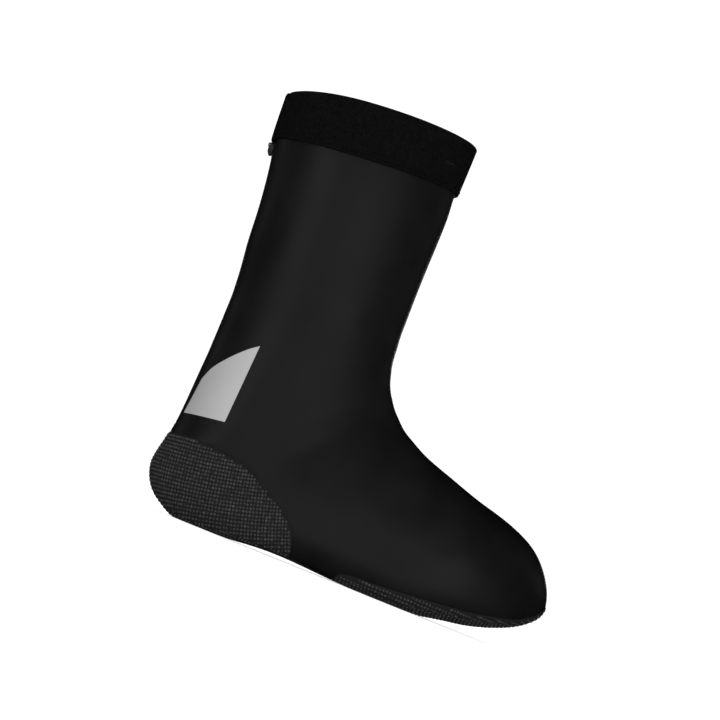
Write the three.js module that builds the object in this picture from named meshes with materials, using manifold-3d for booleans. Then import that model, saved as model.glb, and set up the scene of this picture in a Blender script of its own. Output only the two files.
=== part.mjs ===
// A tall rear-zip cycling overshoe for the right foot, standing empty on its sole.
// Millimetres, +Z up, toe towards +X, inner side of the foot towards +Y.
// Every fabric piece is cut from one form, a stack of sections that runs from the
// collar down the shaft, turns round the heel and closes at the tip of the toe.

import * as THREE from "three";
import { mergeVertices } from "three/addons/utils/BufferGeometryUtils.js";
import Module from "manifold-3d";

const wasm = await Module();
wasm.setup();

// Driving sizes of the form
const LENGTH = 284;
const BALL_WIDTH = 99;
const HEEL_WIDTH = 75;
const INSTEP_HEIGHT = 121;
const COLLAR_HEIGHT = 294;
const COLLAR_RISE = 13.4;
const COLLAR_DEPTH = 130;
const COLLAR_WIDTH = 99;
const COLLAR_OVERHANG = 7;

// Fabric and running clearances
const WALL = 1.8;
const GAP = 0.3;
const PANEL_STEP = 0.5;

// Cuff and its closing tab
const CUFF_HEIGHT = 31;
const CUFF_PROUD = 2.6;
const CUFF_ARCH = 2.5;
const CUFF_SAG = 1.5;
const CUFF_OVERLAP = 8;
const CUFF_LIP = 1.2;
const TAB_THICKNESS = 1.5;
const TAB_WIDTH_OUTER = 15.5;
const TAB_WIDTH_INNER = 21.5;
const TAB_DROP = 1;

// Opening under the foot and the binding along its edge
const OPENING_FROM_HEEL = 48;
const OPENING_FROM_TOE = 72;
const SOLE_WRAP = 10.5;
const BINDING_WIDTH = 4;
const BINDING_STEP = 0.8;

// Zip in the rear seam, with its slider and pull tab
const TAPE_WIDTH = 8;
const TAPE_THICKNESS = 1;
const TAPE_SINK = 0.3;
const ZIP_ABOVE_PANEL = 8;
const COIL_WIDTH = 5;
const COIL_THICKNESS = 1.4;
const SLIDER_LENGTH = 9;
const SLIDER_WIDTH = 8;
const SLIDER_THICKNESS = 1.3;
const BRIDGE_WIDTH = 1.8;
const BRIDGE_WALL = 0.8;
const PIN_THICKNESS = 0.9;
const PIN_SPACE = 0.35;
const PULL_LENGTH = 7.5;
const FORK_DEPTH = 2.3;
const PULL_WIDTH = 5.6;
const PULL_THICKNESS = 1;

// Reflective patch
const PATCH_STEP = 0.4;

// Fineness of the form
const AROUND = 32;
const STEPS_PER_ROW = 2;

// Shaft sections from the collar down to the ankle. Height counts from the ankle to
// the cuff's seam, rise is the share of the collar's rise, rear and front are shares
// of the way from the ankle's edge to the collar's, width is a share of the collar's.
const SHAFT_ROWS = [
  { height: 0.81, rise: 0.85, rear: 0.63, front: 0.4, width: 0.97, widest: 0.41 },
  { height: 0.52, rise: 0.75, rear: 0.36, front: 0.45, width: 0.935, widest: 0.42 },
  { height: 0.26, rise: 0.6, rear: 0.21, front: 0.45, width: 0.89, widest: 0.43 },
];

// Foot sections from the ankle to the toe. Low and top are the ends of a section in
// the middle plane, along as shares of the length, up as shares of the instep height.
// Half widths are shares of the heel width and of the ball width, added together.
// Widest is the share of the way from low to top where the section is widest, and
// round gives the squareness below and above it (2 is an ellipse). Shift is the
// section's move towards the inner side, as a share of the ball width. A low end under
// the floor makes a flat spot there, because the floor cuts the form level.
const FOOT_ROWS = [
  { low: [0.0235, 1.364], top: [0.4387, 1.421], heel: 1.115, ball: 0, widest: 0.43, round: [2, 2.1], shift: 0 },
  { low: [0.0262, 1.05], top: [0.4437, 1.265], heel: 1.05, ball: 0, widest: 0.43, round: [2, 2.1], shift: 0 },
  { low: [0.0228, 0.76], top: [0.4503, 1.195], heel: 1.02, ball: 0, widest: 0.41, round: [2.1, 2.1], shift: 0 },
  { low: [0.0162, 0.48], top: [0.4582, 1.136], heel: 1.01, ball: 0, widest: 0.38, round: [2.2, 2.15], shift: 0 },
  { low: [0.0025, 0.3], top: [0.4673, 1.093], heel: 1.005, ball: 0, widest: 0.36, round: [2.35, 2.2], shift: 0 },
  { low: [0.004, 0.2], top: [0.471, 1.079], heel: 1, ball: 0, widest: 0.35, round: [2.5, 2.2], shift: 0 },
  { low: [0.026, 0.106], top: [0.4755, 1.064], heel: 0.998, ball: 0, widest: 0.35, round: [2.75, 2.2], shift: 0 },
  { low: [0.066, 0.038], top: [0.481, 1.045], heel: 0.992, ball: 0, widest: 0.34, round: [3.2, 2.2], shift: 0 },
  { low: [0.132, -0.011], top: [0.4925, 1.01], heel: 0.985, ball: 0, widest: 0.34, round: [3.8, 2.2], shift: 0 },
  { low: [0.255, -0.004], top: [0.5106, 0.967], heel: 0.81, ball: 0.155, widest: 0.34, round: [4, 2.2], shift: -0.005 },
  { low: [0.36, 0.006], top: [0.532, 0.923], heel: 0.5, ball: 0.43, widest: 0.33, round: [4, 2.2], shift: -0.012 },
  { low: [0.475, -0.002], top: [0.562, 0.883], heel: 0.2, ball: 0.73, widest: 0.32, round: [4, 2.25], shift: -0.015 },
  { low: [0.585, -0.013], top: [0.606, 0.833], heel: 0, ball: 0.965, widest: 0.31, round: [4, 2.3], shift: -0.008 },
  { low: [0.68, -0.012], top: [0.676, 0.779], heel: 0, ball: 1, widest: 0.31, round: [4, 2.35], shift: 0.01 },
  { low: [0.76, 0.024], top: [0.753, 0.722], heel: 0, ball: 0.985, widest: 0.32, round: [3.8, 2.35], shift: 0.03 },
  { low: [0.83, 0.052], top: [0.82, 0.682], heel: 0, ball: 0.912, widest: 0.33, round: [3.4, 2.3], shift: 0.05 },
  { low: [0.893, 0.095], top: [0.884, 0.63], heel: 0, ball: 0.772, widest: 0.34, round: [3, 2.25], shift: 0.072 },
  { low: [0.942, 0.145], top: [0.933, 0.562], heel: 0, ball: 0.585, widest: 0.35, round: [2.7, 2.2], shift: 0.09 },
  { low: [0.976, 0.2], top: [0.968, 0.474], heel: 0, ball: 0.38, widest: 0.37, round: [2.4, 2.1], shift: 0.103 },
  { low: [0.994, 0.252], top: [0.99, 0.385], heel: 0, ball: 0.18, widest: 0.42, round: [2.1, 2.05], shift: 0.11 },
  { low: [1, 0.305], top: [1, 0.305], heel: 0, ball: 0, widest: 0.5, round: [2, 2], shift: 0.112 },
];

// Upper edge of the heel panel: along as shares of the length, up as shares of the instep height.
const HEEL_EDGE = [
  [-0.05, 0.425], [0.015, 0.431], [0.09, 0.441], [0.168, 0.422], [0.218, 0.403],
  [0.263, 0.355], [0.3, 0.31], [0.334, 0.258], [0.363, 0.2], [0.383, 0.12], [0.39, 0.02], [0.391, -0.1],
];

// Upper edge of the toe band, in the same shares.
const TOE_EDGE = [
  [0.5, -0.1], [0.505, 0.03], [0.53, 0.064], [0.602, 0.076], [0.687, 0.092], [0.754, 0.107], [0.813, 0.118],
  [0.866, 0.143], [0.922, 0.17], [0.957, 0.207], [0.982, 0.252], [1, 0.31], [1.02, 0.38],
];

// Outline of the reflective patch, in the same shares: three straight sides and a bowed one.
const PATCH_SIDES = [[0.0408, 0.77], [0.031, 0.558], [0.1331, 0.5876], [0.1426, 1.0455]];
const PATCH_BOW = [[0.1225, 1.012], [0.101, 0.967], [0.079, 0.914], [0.055, 0.845]];

const signedPower = (value, power) => Math.sign(value) * Math.abs(value) ** power;
const mix = THREE.MathUtils.lerp;

// The table's rows as sections in millimetres.
function shaftSection(up, rise, rear, front, width, widest) {
  const ankleRear = FOOT_ROWS[0].low[0] * LENGTH;
  const ankleFront = FOOT_ROWS[0].top[0] * LENGTH;
  const collarFront = COLLAR_DEPTH - COLLAR_OVERHANG;
  return {
    lowX: mix(ankleRear, -COLLAR_OVERHANG, rear),
    lowZ: up,
    topX: mix(ankleFront, collarFront, front),
    topZ: up + rise * COLLAR_RISE,
    half: (width * COLLAR_WIDTH) / 2,
    widest,
    roundLow: 2,
    roundTop: 2,
    shift: 0,
  };
}

function footSection(row) {
  return {
    lowX: row.low[0] * LENGTH,
    lowZ: row.low[1] * INSTEP_HEIGHT,
    topX: row.top[0] * LENGTH,
    topZ: row.top[1] * INSTEP_HEIGHT,
    half: (row.heel * HEEL_WIDTH + row.ball * BALL_WIDTH) / 2,
    widest: row.widest,
    roundLow: row.round[0],
    roundTop: row.round[1],
    shift: row.shift * BALL_WIDTH,
  };
}

const seamHeight = COLLAR_HEIGHT - CUFF_HEIGHT;
const ankleHeight = FOOT_ROWS[0].low[1] * INSTEP_HEIGHT;
const shaftHeight = (share) => mix(ankleHeight, seamHeight, share);
const SECTIONS = [
  shaftSection(COLLAR_HEIGHT, 1, 1, 1, 1, 0.41),
  shaftSection(seamHeight, 0.82, 0.85, 1.2, 0.98, 0.41),
  ...SHAFT_ROWS.map((row) =>
    shaftSection(shaftHeight(row.height), row.rise, row.rear, row.front, row.width, row.widest)),
  ...FOOT_ROWS.map(footSection),
];
const COLLAR = 0;
const TOE = SECTIONS.length - 1;

// A section between the rows: a cubic through the four rows round it, and straight on above the collar.
function sectionAt(place) {
  const row = Math.min(Math.max(Math.floor(place), 0), TOE - 1);
  const t = place - row;
  const section = {};
  for (const key of Object.keys(SECTIONS[0])) {
    const [a, b, c, d] = [-1, 0, 1, 2].map((step) => {
      const index = Math.min(Math.max(row + step, 0), TOE);
      return SECTIONS[index][key];
    });
    const slopeB = row === 0 ? c - b : (c - a) / 2;
    const slopeC = row === TOE - 1 ? c - b : (d - b) / 2;
    section[key] = t < 0
      ? b + t * slopeB
      : b + t * slopeB
        + t * t * (3 * (c - b) - 2 * slopeB - slopeC)
        + t * t * t * (2 * (b - c) + slopeB + slopeC);
  }
  return section;
}

// A point of the form: angle 0 is the rear or the underside, half a turn is the front or the top.
function formPoint(place, angle) {
  const section = sectionAt(place);
  const toLow = Math.cos(angle);
  const power = 2 / (toLow > 0 ? section.roundLow : section.roundTop);
  const along = toLow > 0
    ? section.widest * (1 - toLow ** power)
    : section.widest + (1 - section.widest) * Math.abs(toLow) ** power;
  return new THREE.Vector3(
    mix(section.lowX, section.topX, along),
    section.shift + section.half * signedPower(Math.sin(angle), power),
    mix(section.lowZ, section.topZ, along),
  );
}

// The same point moved out of the surface, along the normal of the form.
const NUDGE = 0.02;
function offsetPoint(place, angle, offset) {
  const here = Math.min(place, TOE - NUDGE);
  const round = formPoint(here, angle + NUDGE).sub(formPoint(here, angle - NUDGE));
  const down = formPoint(here + NUDGE, angle).sub(formPoint(here - NUDGE, angle));
  return formPoint(place, angle).addScaledVector(round.cross(down).normalize(), offset);
}

const turn = (index, count) => (2 * Math.PI * index) / count;

// Solids from points and triangles, always with their faces outwards.
function toSolid(points, triangles) {
  const vertices = new Float32Array(points.flatMap((point) => point.toArray()));
  const solid = new wasm.Manifold(new wasm.Mesh({
    numProp: 3,
    vertProperties: vertices,
    triVerts: new Uint32Array(triangles.flat()),
  }));
  if (solid.volume() > 0) return solid;
  const turned = triangles.flatMap(([a, b, c]) => [a, c, b]);
  return new wasm.Manifold(new wasm.Mesh({
    numProp: 3,
    vertProperties: vertices,
    triVerts: new Uint32Array(turned),
  }));
}

// A geometry of the library as a solid, with its doubled corners merged and slivers left out.
function geometrySolid(geometry) {
  geometry.deleteAttribute("normal");
  geometry.deleteAttribute("uv");
  const merged = mergeVertices(geometry, 1e-4);
  const triangles = [];
  for (let i = 0; i < merged.index.count; i += 3) {
    const [a, b, c] = [0, 1, 2].map((corner) => merged.index.getX(i + corner));
    if (a !== b && b !== c && c !== a) triangles.push(a, b, c);
  }
  return new wasm.Manifold(new wasm.Mesh({
    numProp: 3,
    vertProperties: new Float32Array(merged.attributes.position.array),
    triVerts: new Uint32Array(triangles),
  }));
}

// Triangles between two rings that start at the given corners.
function bandBetween(first, second, count) {
  const triangles = [];
  for (let i = 0; i < count; i += 1) {
    const next = (i + 1) % count;
    triangles.push([first + i, second + i, second + next], [first + i, second + next, first + next]);
  }
  return triangles;
}

// The closed form at an offset from the surface, from a place on the shaft to the toe.
function formSolid(offset, start) {
  const steps = Array.from({ length: STEPS_PER_ROW * TOE }, (_, i) => i / STEPS_PER_ROW);
  const places = [start, ...steps.filter((step) => step > start + NUDGE)];
  const rings = places.length;
  const points = [];
  const triangles = [];
  places.forEach((place, ring) => {
    for (let i = 0; i < AROUND; i += 1) points.push(offsetPoint(place, turn(i, AROUND), offset));
    if (ring > 0) triangles.push(...bandBetween((ring - 1) * AROUND, ring * AROUND, AROUND));
  });
  const cap = points.length;
  const mouth = points.slice(0, AROUND);
  points.push(mouth.reduce((sum, point) => sum.add(point), new THREE.Vector3()).divideScalar(AROUND));
  const tip = points.length;
  points.push(formPoint(TOE, 0).add(new THREE.Vector3(offset, 0, 0)));
  const last = (rings - 1) * AROUND;
  for (let i = 0; i < AROUND; i += 1) {
    const next = (i + 1) % AROUND;
    triangles.push([cap, i, next], [last + i, tip, last + next]);
  }
  return toSolid(points, triangles);
}

// Larger than the whole overshoe, for cutters that pass right through it.
const BEYOND = 2 * (LENGTH + COLLAR_HEIGHT);

function block(low, high) {
  const size = high.map((value, axis) => value - low[axis]);
  const box = new THREE.BoxGeometry(...size);
  box.translate(...low.map((value, axis) => value + size[axis] / 2));
  return geometrySolid(box);
}

const above = (floor) => block([-BEYOND, -BEYOND, floor], [BEYOND, BEYOND, BEYOND]);

// The space between two offsets of the form, open above, with its underside cut level.
const CLEAR_OF_COLLAR = -1.5;
function wallBetween(outer, inner, start = COLLAR) {
  const outside = formSolid(outer, start).intersect(above(0));
  const inside = formSolid(inner, CLEAR_OF_COLLAR).intersect(above(-inner));
  return outside.subtract(inside);
}

// Prisms across the overshoe, from an outline in its side view or in its plan.
function acrossPrism(outline, from = -BEYOND, to = BEYOND) {
  const shape = new THREE.Shape(outline.map(([x, z]) => new THREE.Vector2(x, z)));
  const prism = new THREE.ExtrudeGeometry(shape, { depth: to - from, bevelEnabled: false });
  prism.rotateX(Math.PI / 2);
  prism.translate(0, to, 0);
  return geometrySolid(prism);
}

function uprightPrism(outline, from, to) {
  const shape = new THREE.Shape(outline.map(([x, y]) => new THREE.Vector2(x, y)));
  const prism = new THREE.ExtrudeGeometry(shape, { depth: to - from, bevelEnabled: false });
  prism.translate(0, 0, from);
  return geometrySolid(prism);
}

const inShares = ([along, up]) => [along * LENGTH, up * INSTEP_HEIGHT];

// A smooth line through an edge table, moved sideways by a distance.
const POINTS_PER_SPAN = 3;
function edgeLine(table, move) {
  const corners = table.map(inShares).map(([x, z]) => new THREE.Vector2(x, z));
  const line = new THREE.SplineCurve(corners);
  const count = (corners.length - 1) * POINTS_PER_SPAN;
  return Array.from({ length: count + 1 }, (_, i) => {
    const point = line.getPoint(i / count);
    const tangent = line.getTangent(i / count);
    return [point.x - tangent.y * move, point.y + tangent.x * move];
  });
}

const BELOW = -0.2 * INSTEP_HEIGHT;
function heelRegion(move) {
  const line = edgeLine(HEEL_EDGE, move);
  return acrossPrism([...line, [line.at(-1)[0], BELOW], [line[0][0], BELOW]]);
}

function toeRegion(move) {
  const line = edgeLine(TOE_EDGE, move);
  return acrossPrism([...line, [line.at(-1)[0], BELOW], [line[0][0], BELOW]]);
}

// The long opening under the foot, an oval with slightly square sides, grown by a margin.
const OPENING_SQUARENESS = { along: 2.6, across: 2.2 };
const OPENING_POINTS = 34;
function openingRegion(margin) {
  const middle = (OPENING_FROM_HEEL + LENGTH - OPENING_FROM_TOE) / 2;
  const reach = middle - OPENING_FROM_HEEL + margin;
  const half = HEEL_WIDTH / 2 - SOLE_WRAP + margin;
  const outline = Array.from({ length: OPENING_POINTS }, (_, i) => {
    const angle = turn(i, OPENING_POINTS);
    return [
      middle + reach * signedPower(Math.cos(angle), 2 / OPENING_SQUARENESS.along),
      half * signedPower(Math.sin(angle), 2 / OPENING_SQUARENESS.across),
    ];
  });
  return uprightPrism(outline, BELOW, -BELOW);
}

// A ring or plate that follows the form near the collar. The profile lists corners as
// offset from the form and as height above the seam, which may change with the angle.
const HALVINGS = 24;
function placeAtHeight(height) {
  let [high, low] = [CLEAR_OF_COLLAR, SECTIONS.length - FOOT_ROWS.length];
  for (let i = 0; i < HALVINGS; i += 1) {
    const middle = (high + low) / 2;
    if (sectionAt(middle).lowZ > seamHeight + height) high = middle;
    else low = middle;
  }
  return (high + low) / 2;
}

function collarRing(profile) {
  const points = [];
  const triangles = [];
  for (let i = 0; i < AROUND; i += 1) {
    const angle = turn(i, AROUND);
    for (const [offset, height] of profile(angle)) {
      points.push(offsetPoint(placeAtHeight(height), angle, offset));
    }
  }
  const sides = points.length / AROUND;
  for (let i = 0; i < AROUND; i += 1) {
    triangles.push(...bandBetween(i * sides, ((i + 1) % AROUND) * sides, sides));
  }
  return toSolid(points, triangles);
}

// The angle at which the collar is a given distance from the middle plane.
const angleAcross = (distance) => Math.asin(distance / (COLLAR_WIDTH / 2 + CUFF_PROUD));

const PLATE_STEPS = 8;
function collarPlate(fromAngle, toAngle, low, high, inner, outer) {
  const points = [];
  const triangles = [[0, 1, 2], [0, 2, 3]];
  for (let i = 0; i <= PLATE_STEPS; i += 1) {
    const angle = mix(fromAngle, toAngle, i / PLATE_STEPS);
    for (const [offset, height] of [[inner, low], [outer, low], [outer, high], [inner, high]]) {
      points.push(offsetPoint(placeAtHeight(height), angle, offset));
    }
    if (i > 0) triangles.push(...bandBetween((i - 1) * 4, i * 4, 4));
  }
  const end = PLATE_STEPS * 4;
  triangles.push([end, end + 2, end + 1], [end, end + 3, end + 2]);
  return toSolid(points, triangles);
}

// Upper: one hollow wall, cut back where the panels, the binding and the zip go.
const upperTop = placeAtHeight(CUFF_OVERLAP);
const slotReach = 0.1 * LENGTH;
const zipFoot = HEEL_EDGE[1][1] * INSTEP_HEIGHT + ZIP_ABOVE_PANEL;
const slotTop = seamHeight + CUFF_OVERLAP + 2 * GAP;
function zipSlot(half, foot) {
  return block([-slotReach, -half, foot], [slotReach, half, slotTop]);
}

function makeUpper() {
  return wallBetween(0, -WALL, upperTop)
    .subtract(heelRegion(GAP))
    .subtract(toeRegion(GAP))
    .subtract(openingRegion(BINDING_WIDTH + GAP))
    .subtract(zipSlot(TAPE_WIDTH + GAP, zipFoot - GAP));
}

// Mesh panels stand a little proud of the upper.
function makePanel(region) {
  return wallBetween(PANEL_STEP, -WALL)
    .intersect(region)
    .subtract(openingRegion(BINDING_WIDTH + GAP));
}

function makeBinding() {
  return wallBetween(BINDING_STEP, -WALL - BINDING_STEP)
    .intersect(openingRegion(BINDING_WIDTH))
    .subtract(openingRegion(0));
}

// Cuff: its lower edge goes over the top of the upper, and its ends meet the tab in a recess.
function makeCuff() {
  const lip = CUFF_LIP;
  const ring = collarRing((angle) => {
    const side = Math.sin(angle) ** 2;
    const foot = -CUFF_SAG * side;
    const head = CUFF_HEIGHT + CUFF_ARCH * side;
    return [
      [GAP, foot],
      [CUFF_PROUD - lip / 2, foot],
      [CUFF_PROUD, foot + lip / 2],
      [CUFF_PROUD, head - lip],
      [CUFF_PROUD - lip, head],
      [lip - WALL, head],
      [-WALL, head - lip],
      [-WALL, CUFF_OVERLAP + GAP],
      [GAP, CUFF_OVERLAP + GAP],
    ];
  });
  const recess = collarPlate(
    angleAcross(-TAB_WIDTH_OUTER - GAP), angleAcross(TAB_WIDTH_INNER + GAP),
    -CUFF_SAG - GAP, CUFF_HEIGHT + CUFF_ARCH + GAP, CUFF_PROUD - TAB_THICKNESS - GAP, 2 * CUFF_PROUD,
  );
  return ring.subtract(recess);
}

function makeCuffTab() {
  return collarPlate(
    angleAcross(-TAB_WIDTH_OUTER), angleAcross(TAB_WIDTH_INNER),
    -TAB_DROP, CUFF_HEIGHT - TAB_DROP, CUFF_PROUD - TAB_THICKNESS, CUFF_PROUD + GAP,
  );
}

// Reflective patch on the outer side, seen from the side as three straight edges and a bow.
function makePatch() {
  const bow = new THREE.SplineCurve(
    [PATCH_SIDES.at(-1), ...PATCH_BOW, PATCH_SIDES[0]].map(inShares).map(([x, z]) => new THREE.Vector2(x, z)),
  );
  const bowed = bow.getPoints(POINTS_PER_SPAN * PATCH_BOW.length).map((point) => [point.x, point.y]);
  const outline = [...PATCH_SIDES.slice(1, -1).map(inShares), ...bowed];
  return wallBetween(GAP + PATCH_STEP, GAP).intersect(acrossPrism(outline, -BEYOND, 0));
}

// Zip tapes lie flush in the slot, one on each side of the closing line, over the coil.
function makeTape(side) {
  const edges = [side * (GAP / 2), side * TAPE_WIDTH].sort((a, b) => a - b);
  return wallBetween(-TAPE_SINK, -TAPE_SINK - TAPE_THICKNESS, upperTop)
    .intersect(block([-slotReach, edges[0], zipFoot], [slotReach, edges[1], slotTop - GAP]));
}

function makeCoil() {
  const face = -TAPE_SINK - TAPE_THICKNESS - GAP;
  return wallBetween(face, face - COIL_THICKNESS, upperTop)
    .intersect(block(
      [-slotReach, -COIL_WIDTH / 2, zipFoot + GAP],
      [slotReach, COIL_WIDTH / 2, slotTop - 2 * GAP],
    ));
}

// Slider and pull, made flat: x away from the shaft, y across it, z up it.
const sliderFoot = TAB_DROP + GAP + SLIDER_LENGTH;
const sliderPlace = placeAtHeight(-sliderFoot + SLIDER_LENGTH / 2);
const sliderSeat = offsetPoint(sliderPlace, 0, GAP);
const seatAbove = offsetPoint(placeAtHeight(-sliderFoot + SLIDER_LENGTH), 0, GAP);
const sliderLean = Math.atan2(seatAbove.x - sliderSeat.x, seatAbove.z - sliderSeat.z);
const eyeHalf = PIN_THICKNESS / 2 + PIN_SPACE;
const bridgeOut = SLIDER_THICKNESS + 2 * eyeHalf + BRIDGE_WALL;
const bridgeTop = SLIDER_LENGTH / 2 - BRIDGE_WALL / 2;
const bridgeFoot = bridgeTop - 2 * (eyeHalf + BRIDGE_WALL);
const pullAxis = { out: -SLIDER_THICKNESS - eyeHalf, up: (bridgeFoot + bridgeTop) / 2 };

// Outline drawn across (x) and up (y), thickness towards the outside.
const flatToShaft = new THREE.Matrix4().makeBasis(
  new THREE.Vector3(0, -1, 0),
  new THREE.Vector3(0, 0, 1),
  new THREE.Vector3(-1, 0, 0),
);

function makeSlider() {
  const top = SLIDER_LENGTH / 2;
  const half = SLIDER_WIDTH / 2;
  const shield = new THREE.Shape();
  shield.moveTo(-half * 0.62, -top);
  shield.lineTo(half * 0.62, -top);
  shield.quadraticCurveTo(half * 0.82, -top * 0.1, half, top * 0.35);
  shield.quadraticCurveTo(half * 0.95, top, half * 0.35, top);
  shield.lineTo(-half * 0.35, top);
  shield.quadraticCurveTo(-half * 0.95, top, -half, top * 0.35);
  shield.quadraticCurveTo(-half * 0.82, -top * 0.1, -half * 0.62, -top);
  const plate = new THREE.ExtrudeGeometry(shield, {
    depth: SLIDER_THICKNESS, bevelEnabled: false, curveSegments: 5,
  });
  plate.applyMatrix4(flatToShaft);
  return geometrySolid(plate).add(makeBridge());
}

// The bridge is an arch over the pull's pin, seen from the side.
function makeBridge() {
  const arch = new THREE.Shape();
  const root = -SLIDER_THICKNESS / 2;
  const round = BRIDGE_WALL;
  arch.moveTo(root, bridgeFoot);
  arch.lineTo(-bridgeOut + round, bridgeFoot);
  arch.quadraticCurveTo(-bridgeOut, bridgeFoot, -bridgeOut, bridgeFoot + round);
  arch.lineTo(-bridgeOut, bridgeTop - round);
  arch.quadraticCurveTo(-bridgeOut, bridgeTop, -bridgeOut + round, bridgeTop);
  arch.lineTo(root, bridgeTop);
  const eye = new THREE.Path();
  eye.absarc(pullAxis.out, pullAxis.up, eyeHalf, 0, 2 * Math.PI, false);
  arch.holes.push(eye);
  const bridge = new THREE.ExtrudeGeometry(arch, {
    depth: BRIDGE_WIDTH, bevelEnabled: false, curveSegments: 4,
  });
  bridge.translate(0, 0, -BRIDGE_WIDTH / 2);
  bridge.rotateX(Math.PI / 2);
  return geometrySolid(bridge);
}

// Pull tab: a pin through the bridge between two cheeks, and a plate with a grip hole below.
function makePull() {
  const cheek = (PULL_WIDTH - BRIDGE_WIDTH) / 2 - PIN_SPACE;
  const half = PULL_WIDTH / 2;
  const forkFoot = -FORK_DEPTH;
  const plate = new THREE.Shape();
  plate.moveTo(-half, PIN_THICKNESS / 2);
  plate.lineTo(-half + cheek, PIN_THICKNESS / 2);
  plate.lineTo(-half + cheek, forkFoot);
  plate.lineTo(half - cheek, forkFoot);
  plate.lineTo(half - cheek, PIN_THICKNESS / 2);
  plate.lineTo(half, PIN_THICKNESS / 2);
  plate.lineTo(half * 0.84, -PULL_LENGTH + half * 0.7);
  plate.quadraticCurveTo(half * 0.8, -PULL_LENGTH, 0, -PULL_LENGTH);
  plate.quadraticCurveTo(-half * 0.8, -PULL_LENGTH, -half * 0.84, -PULL_LENGTH + half * 0.7);
  const flat = new THREE.ExtrudeGeometry(plate, {
    depth: PULL_THICKNESS, bevelEnabled: false, curveSegments: 5,
  });
  flat.translate(0, 0, -PULL_THICKNESS / 2);
  flat.applyMatrix4(flatToShaft);
  const pin = new THREE.CylinderGeometry(PIN_THICKNESS / 2, PIN_THICKNESS / 2, PULL_WIDTH - cheek, 12);
  return geometrySolid(flat).add(geometrySolid(pin));
}

// Colours and finish of each material
const MATERIALS = {
  coated: { color: 0x1b1b1c, roughness: 0.5, metalness: 0 },
  knit: { color: 0x0d0d0e, roughness: 0.95, metalness: 0 },
  mesh: { color: 0x2a2a2b, roughness: 0.8, metalness: 0 },
  reflective: { color: 0xadadad, roughness: 0.45, metalness: 0 },
  tape: { color: 0x141415, roughness: 0.7, metalness: 0 },
  zipMetal: { color: 0x38383a, roughness: 0.4, metalness: 0.6 },
};

function toMesh(name, solid, finish) {
  const { vertProperties, triVerts } = solid.getMesh();
  const geometry = new THREE.BufferGeometry();
  geometry.setAttribute("position", new THREE.BufferAttribute(new Float32Array(vertProperties), 3));
  geometry.setIndex(new THREE.BufferAttribute(new Uint32Array(triVerts), 1));
  geometry.computeVertexNormals();
  const mesh = new THREE.Mesh(geometry, new THREE.MeshStandardMaterial(MATERIALS[finish]));
  mesh.name = name;
  return mesh;
}

const overshoe = new THREE.Group();
overshoe.name = "overshoe";
overshoe.add(
  toMesh("upper", makeUpper(), "coated"),
  toMesh("heel_panel", makePanel(heelRegion(0)), "mesh"),
  toMesh("toe_panel", makePanel(toeRegion(0)), "mesh"),
  toMesh("sole_binding", makeBinding(), "mesh"),
  toMesh("cuff", makeCuff(), "knit"),
  toMesh("cuff_tab", makeCuffTab(), "knit"),
  toMesh("reflective_patch", makePatch(), "reflective"),
  toMesh("zip_tape_outer", makeTape(-1), "tape"),
  toMesh("zip_tape_inner", makeTape(1), "tape"),
  toMesh("zip_coil", makeCoil(), "tape"),
);

const slider = toMesh("zip_slider", makeSlider(), "zipMetal");
slider.position.copy(sliderSeat);
slider.rotation.y = sliderLean;
overshoe.add(slider);

// The pull hangs straight down from its pin, whatever the lean of the slider.
const pull = toMesh("zip_pull", makePull(), "zipMetal");
pull.position
  .set(pullAxis.out, 0, pullAxis.up)
  .applyAxisAngle(new THREE.Vector3(0, 1, 0), sliderLean)
  .add(sliderSeat);
overshoe.add(pull);

// The origin is at the middle of the box, on the floor.
overshoe.updateMatrixWorld(true);
const box = new THREE.Box3().setFromObject(overshoe, true);
overshoe.position.set(-(box.min.x + box.max.x) / 2, -(box.min.y + box.max.y) / 2, -box.min.z);

export default overshoe;
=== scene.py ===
"""Dresses the solids of a tall rear-zip cycling overshoe with its fabrics, stitching and zip."""

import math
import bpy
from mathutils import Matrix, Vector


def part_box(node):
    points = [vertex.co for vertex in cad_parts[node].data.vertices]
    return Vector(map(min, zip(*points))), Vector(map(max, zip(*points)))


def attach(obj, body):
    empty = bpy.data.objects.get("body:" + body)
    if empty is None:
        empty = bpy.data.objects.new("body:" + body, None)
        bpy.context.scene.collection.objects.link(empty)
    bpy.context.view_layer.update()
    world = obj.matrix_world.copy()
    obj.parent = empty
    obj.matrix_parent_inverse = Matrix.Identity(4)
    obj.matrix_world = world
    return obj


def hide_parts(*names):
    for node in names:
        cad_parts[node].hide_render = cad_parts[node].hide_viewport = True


bl_info = {
    "name": "Cycling overshoe",
    "version": (1, 0, 0),
    "blender": (4, 5, 0),
    "location": "3D View > Sidebar > Overshoe",
    "description": "Builds the fabrics, panels, cuff, stitching and zip of a cycling overshoe",
    "category": "Object",
}

import bpy
import numpy as np
from bpy.props import FloatProperty, FloatVectorProperty, PointerProperty
from mathutils import Matrix, Vector

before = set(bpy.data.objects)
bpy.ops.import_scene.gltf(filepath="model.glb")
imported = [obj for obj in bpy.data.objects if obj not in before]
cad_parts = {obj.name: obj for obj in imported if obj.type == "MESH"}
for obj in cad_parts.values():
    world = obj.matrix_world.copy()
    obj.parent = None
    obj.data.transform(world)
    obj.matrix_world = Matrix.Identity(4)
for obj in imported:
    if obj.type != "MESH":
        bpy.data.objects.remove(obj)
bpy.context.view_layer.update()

MM = 0.001
BODY = "overshoe"
PULL_BODY = "pull_tab"


def size(name, description, default):
    """A length property in metres, from a default in millimetres."""
    return FloatProperty(
        name=name, description=description, default=default * MM, min=0, unit="LENGTH", precision=5
    )


def colour(name, description, default):
    """A colour property in linear light."""
    return FloatVectorProperty(
        name=name, description=description, default=default, size=3, min=0, max=1, subtype="COLOR"
    )


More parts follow.
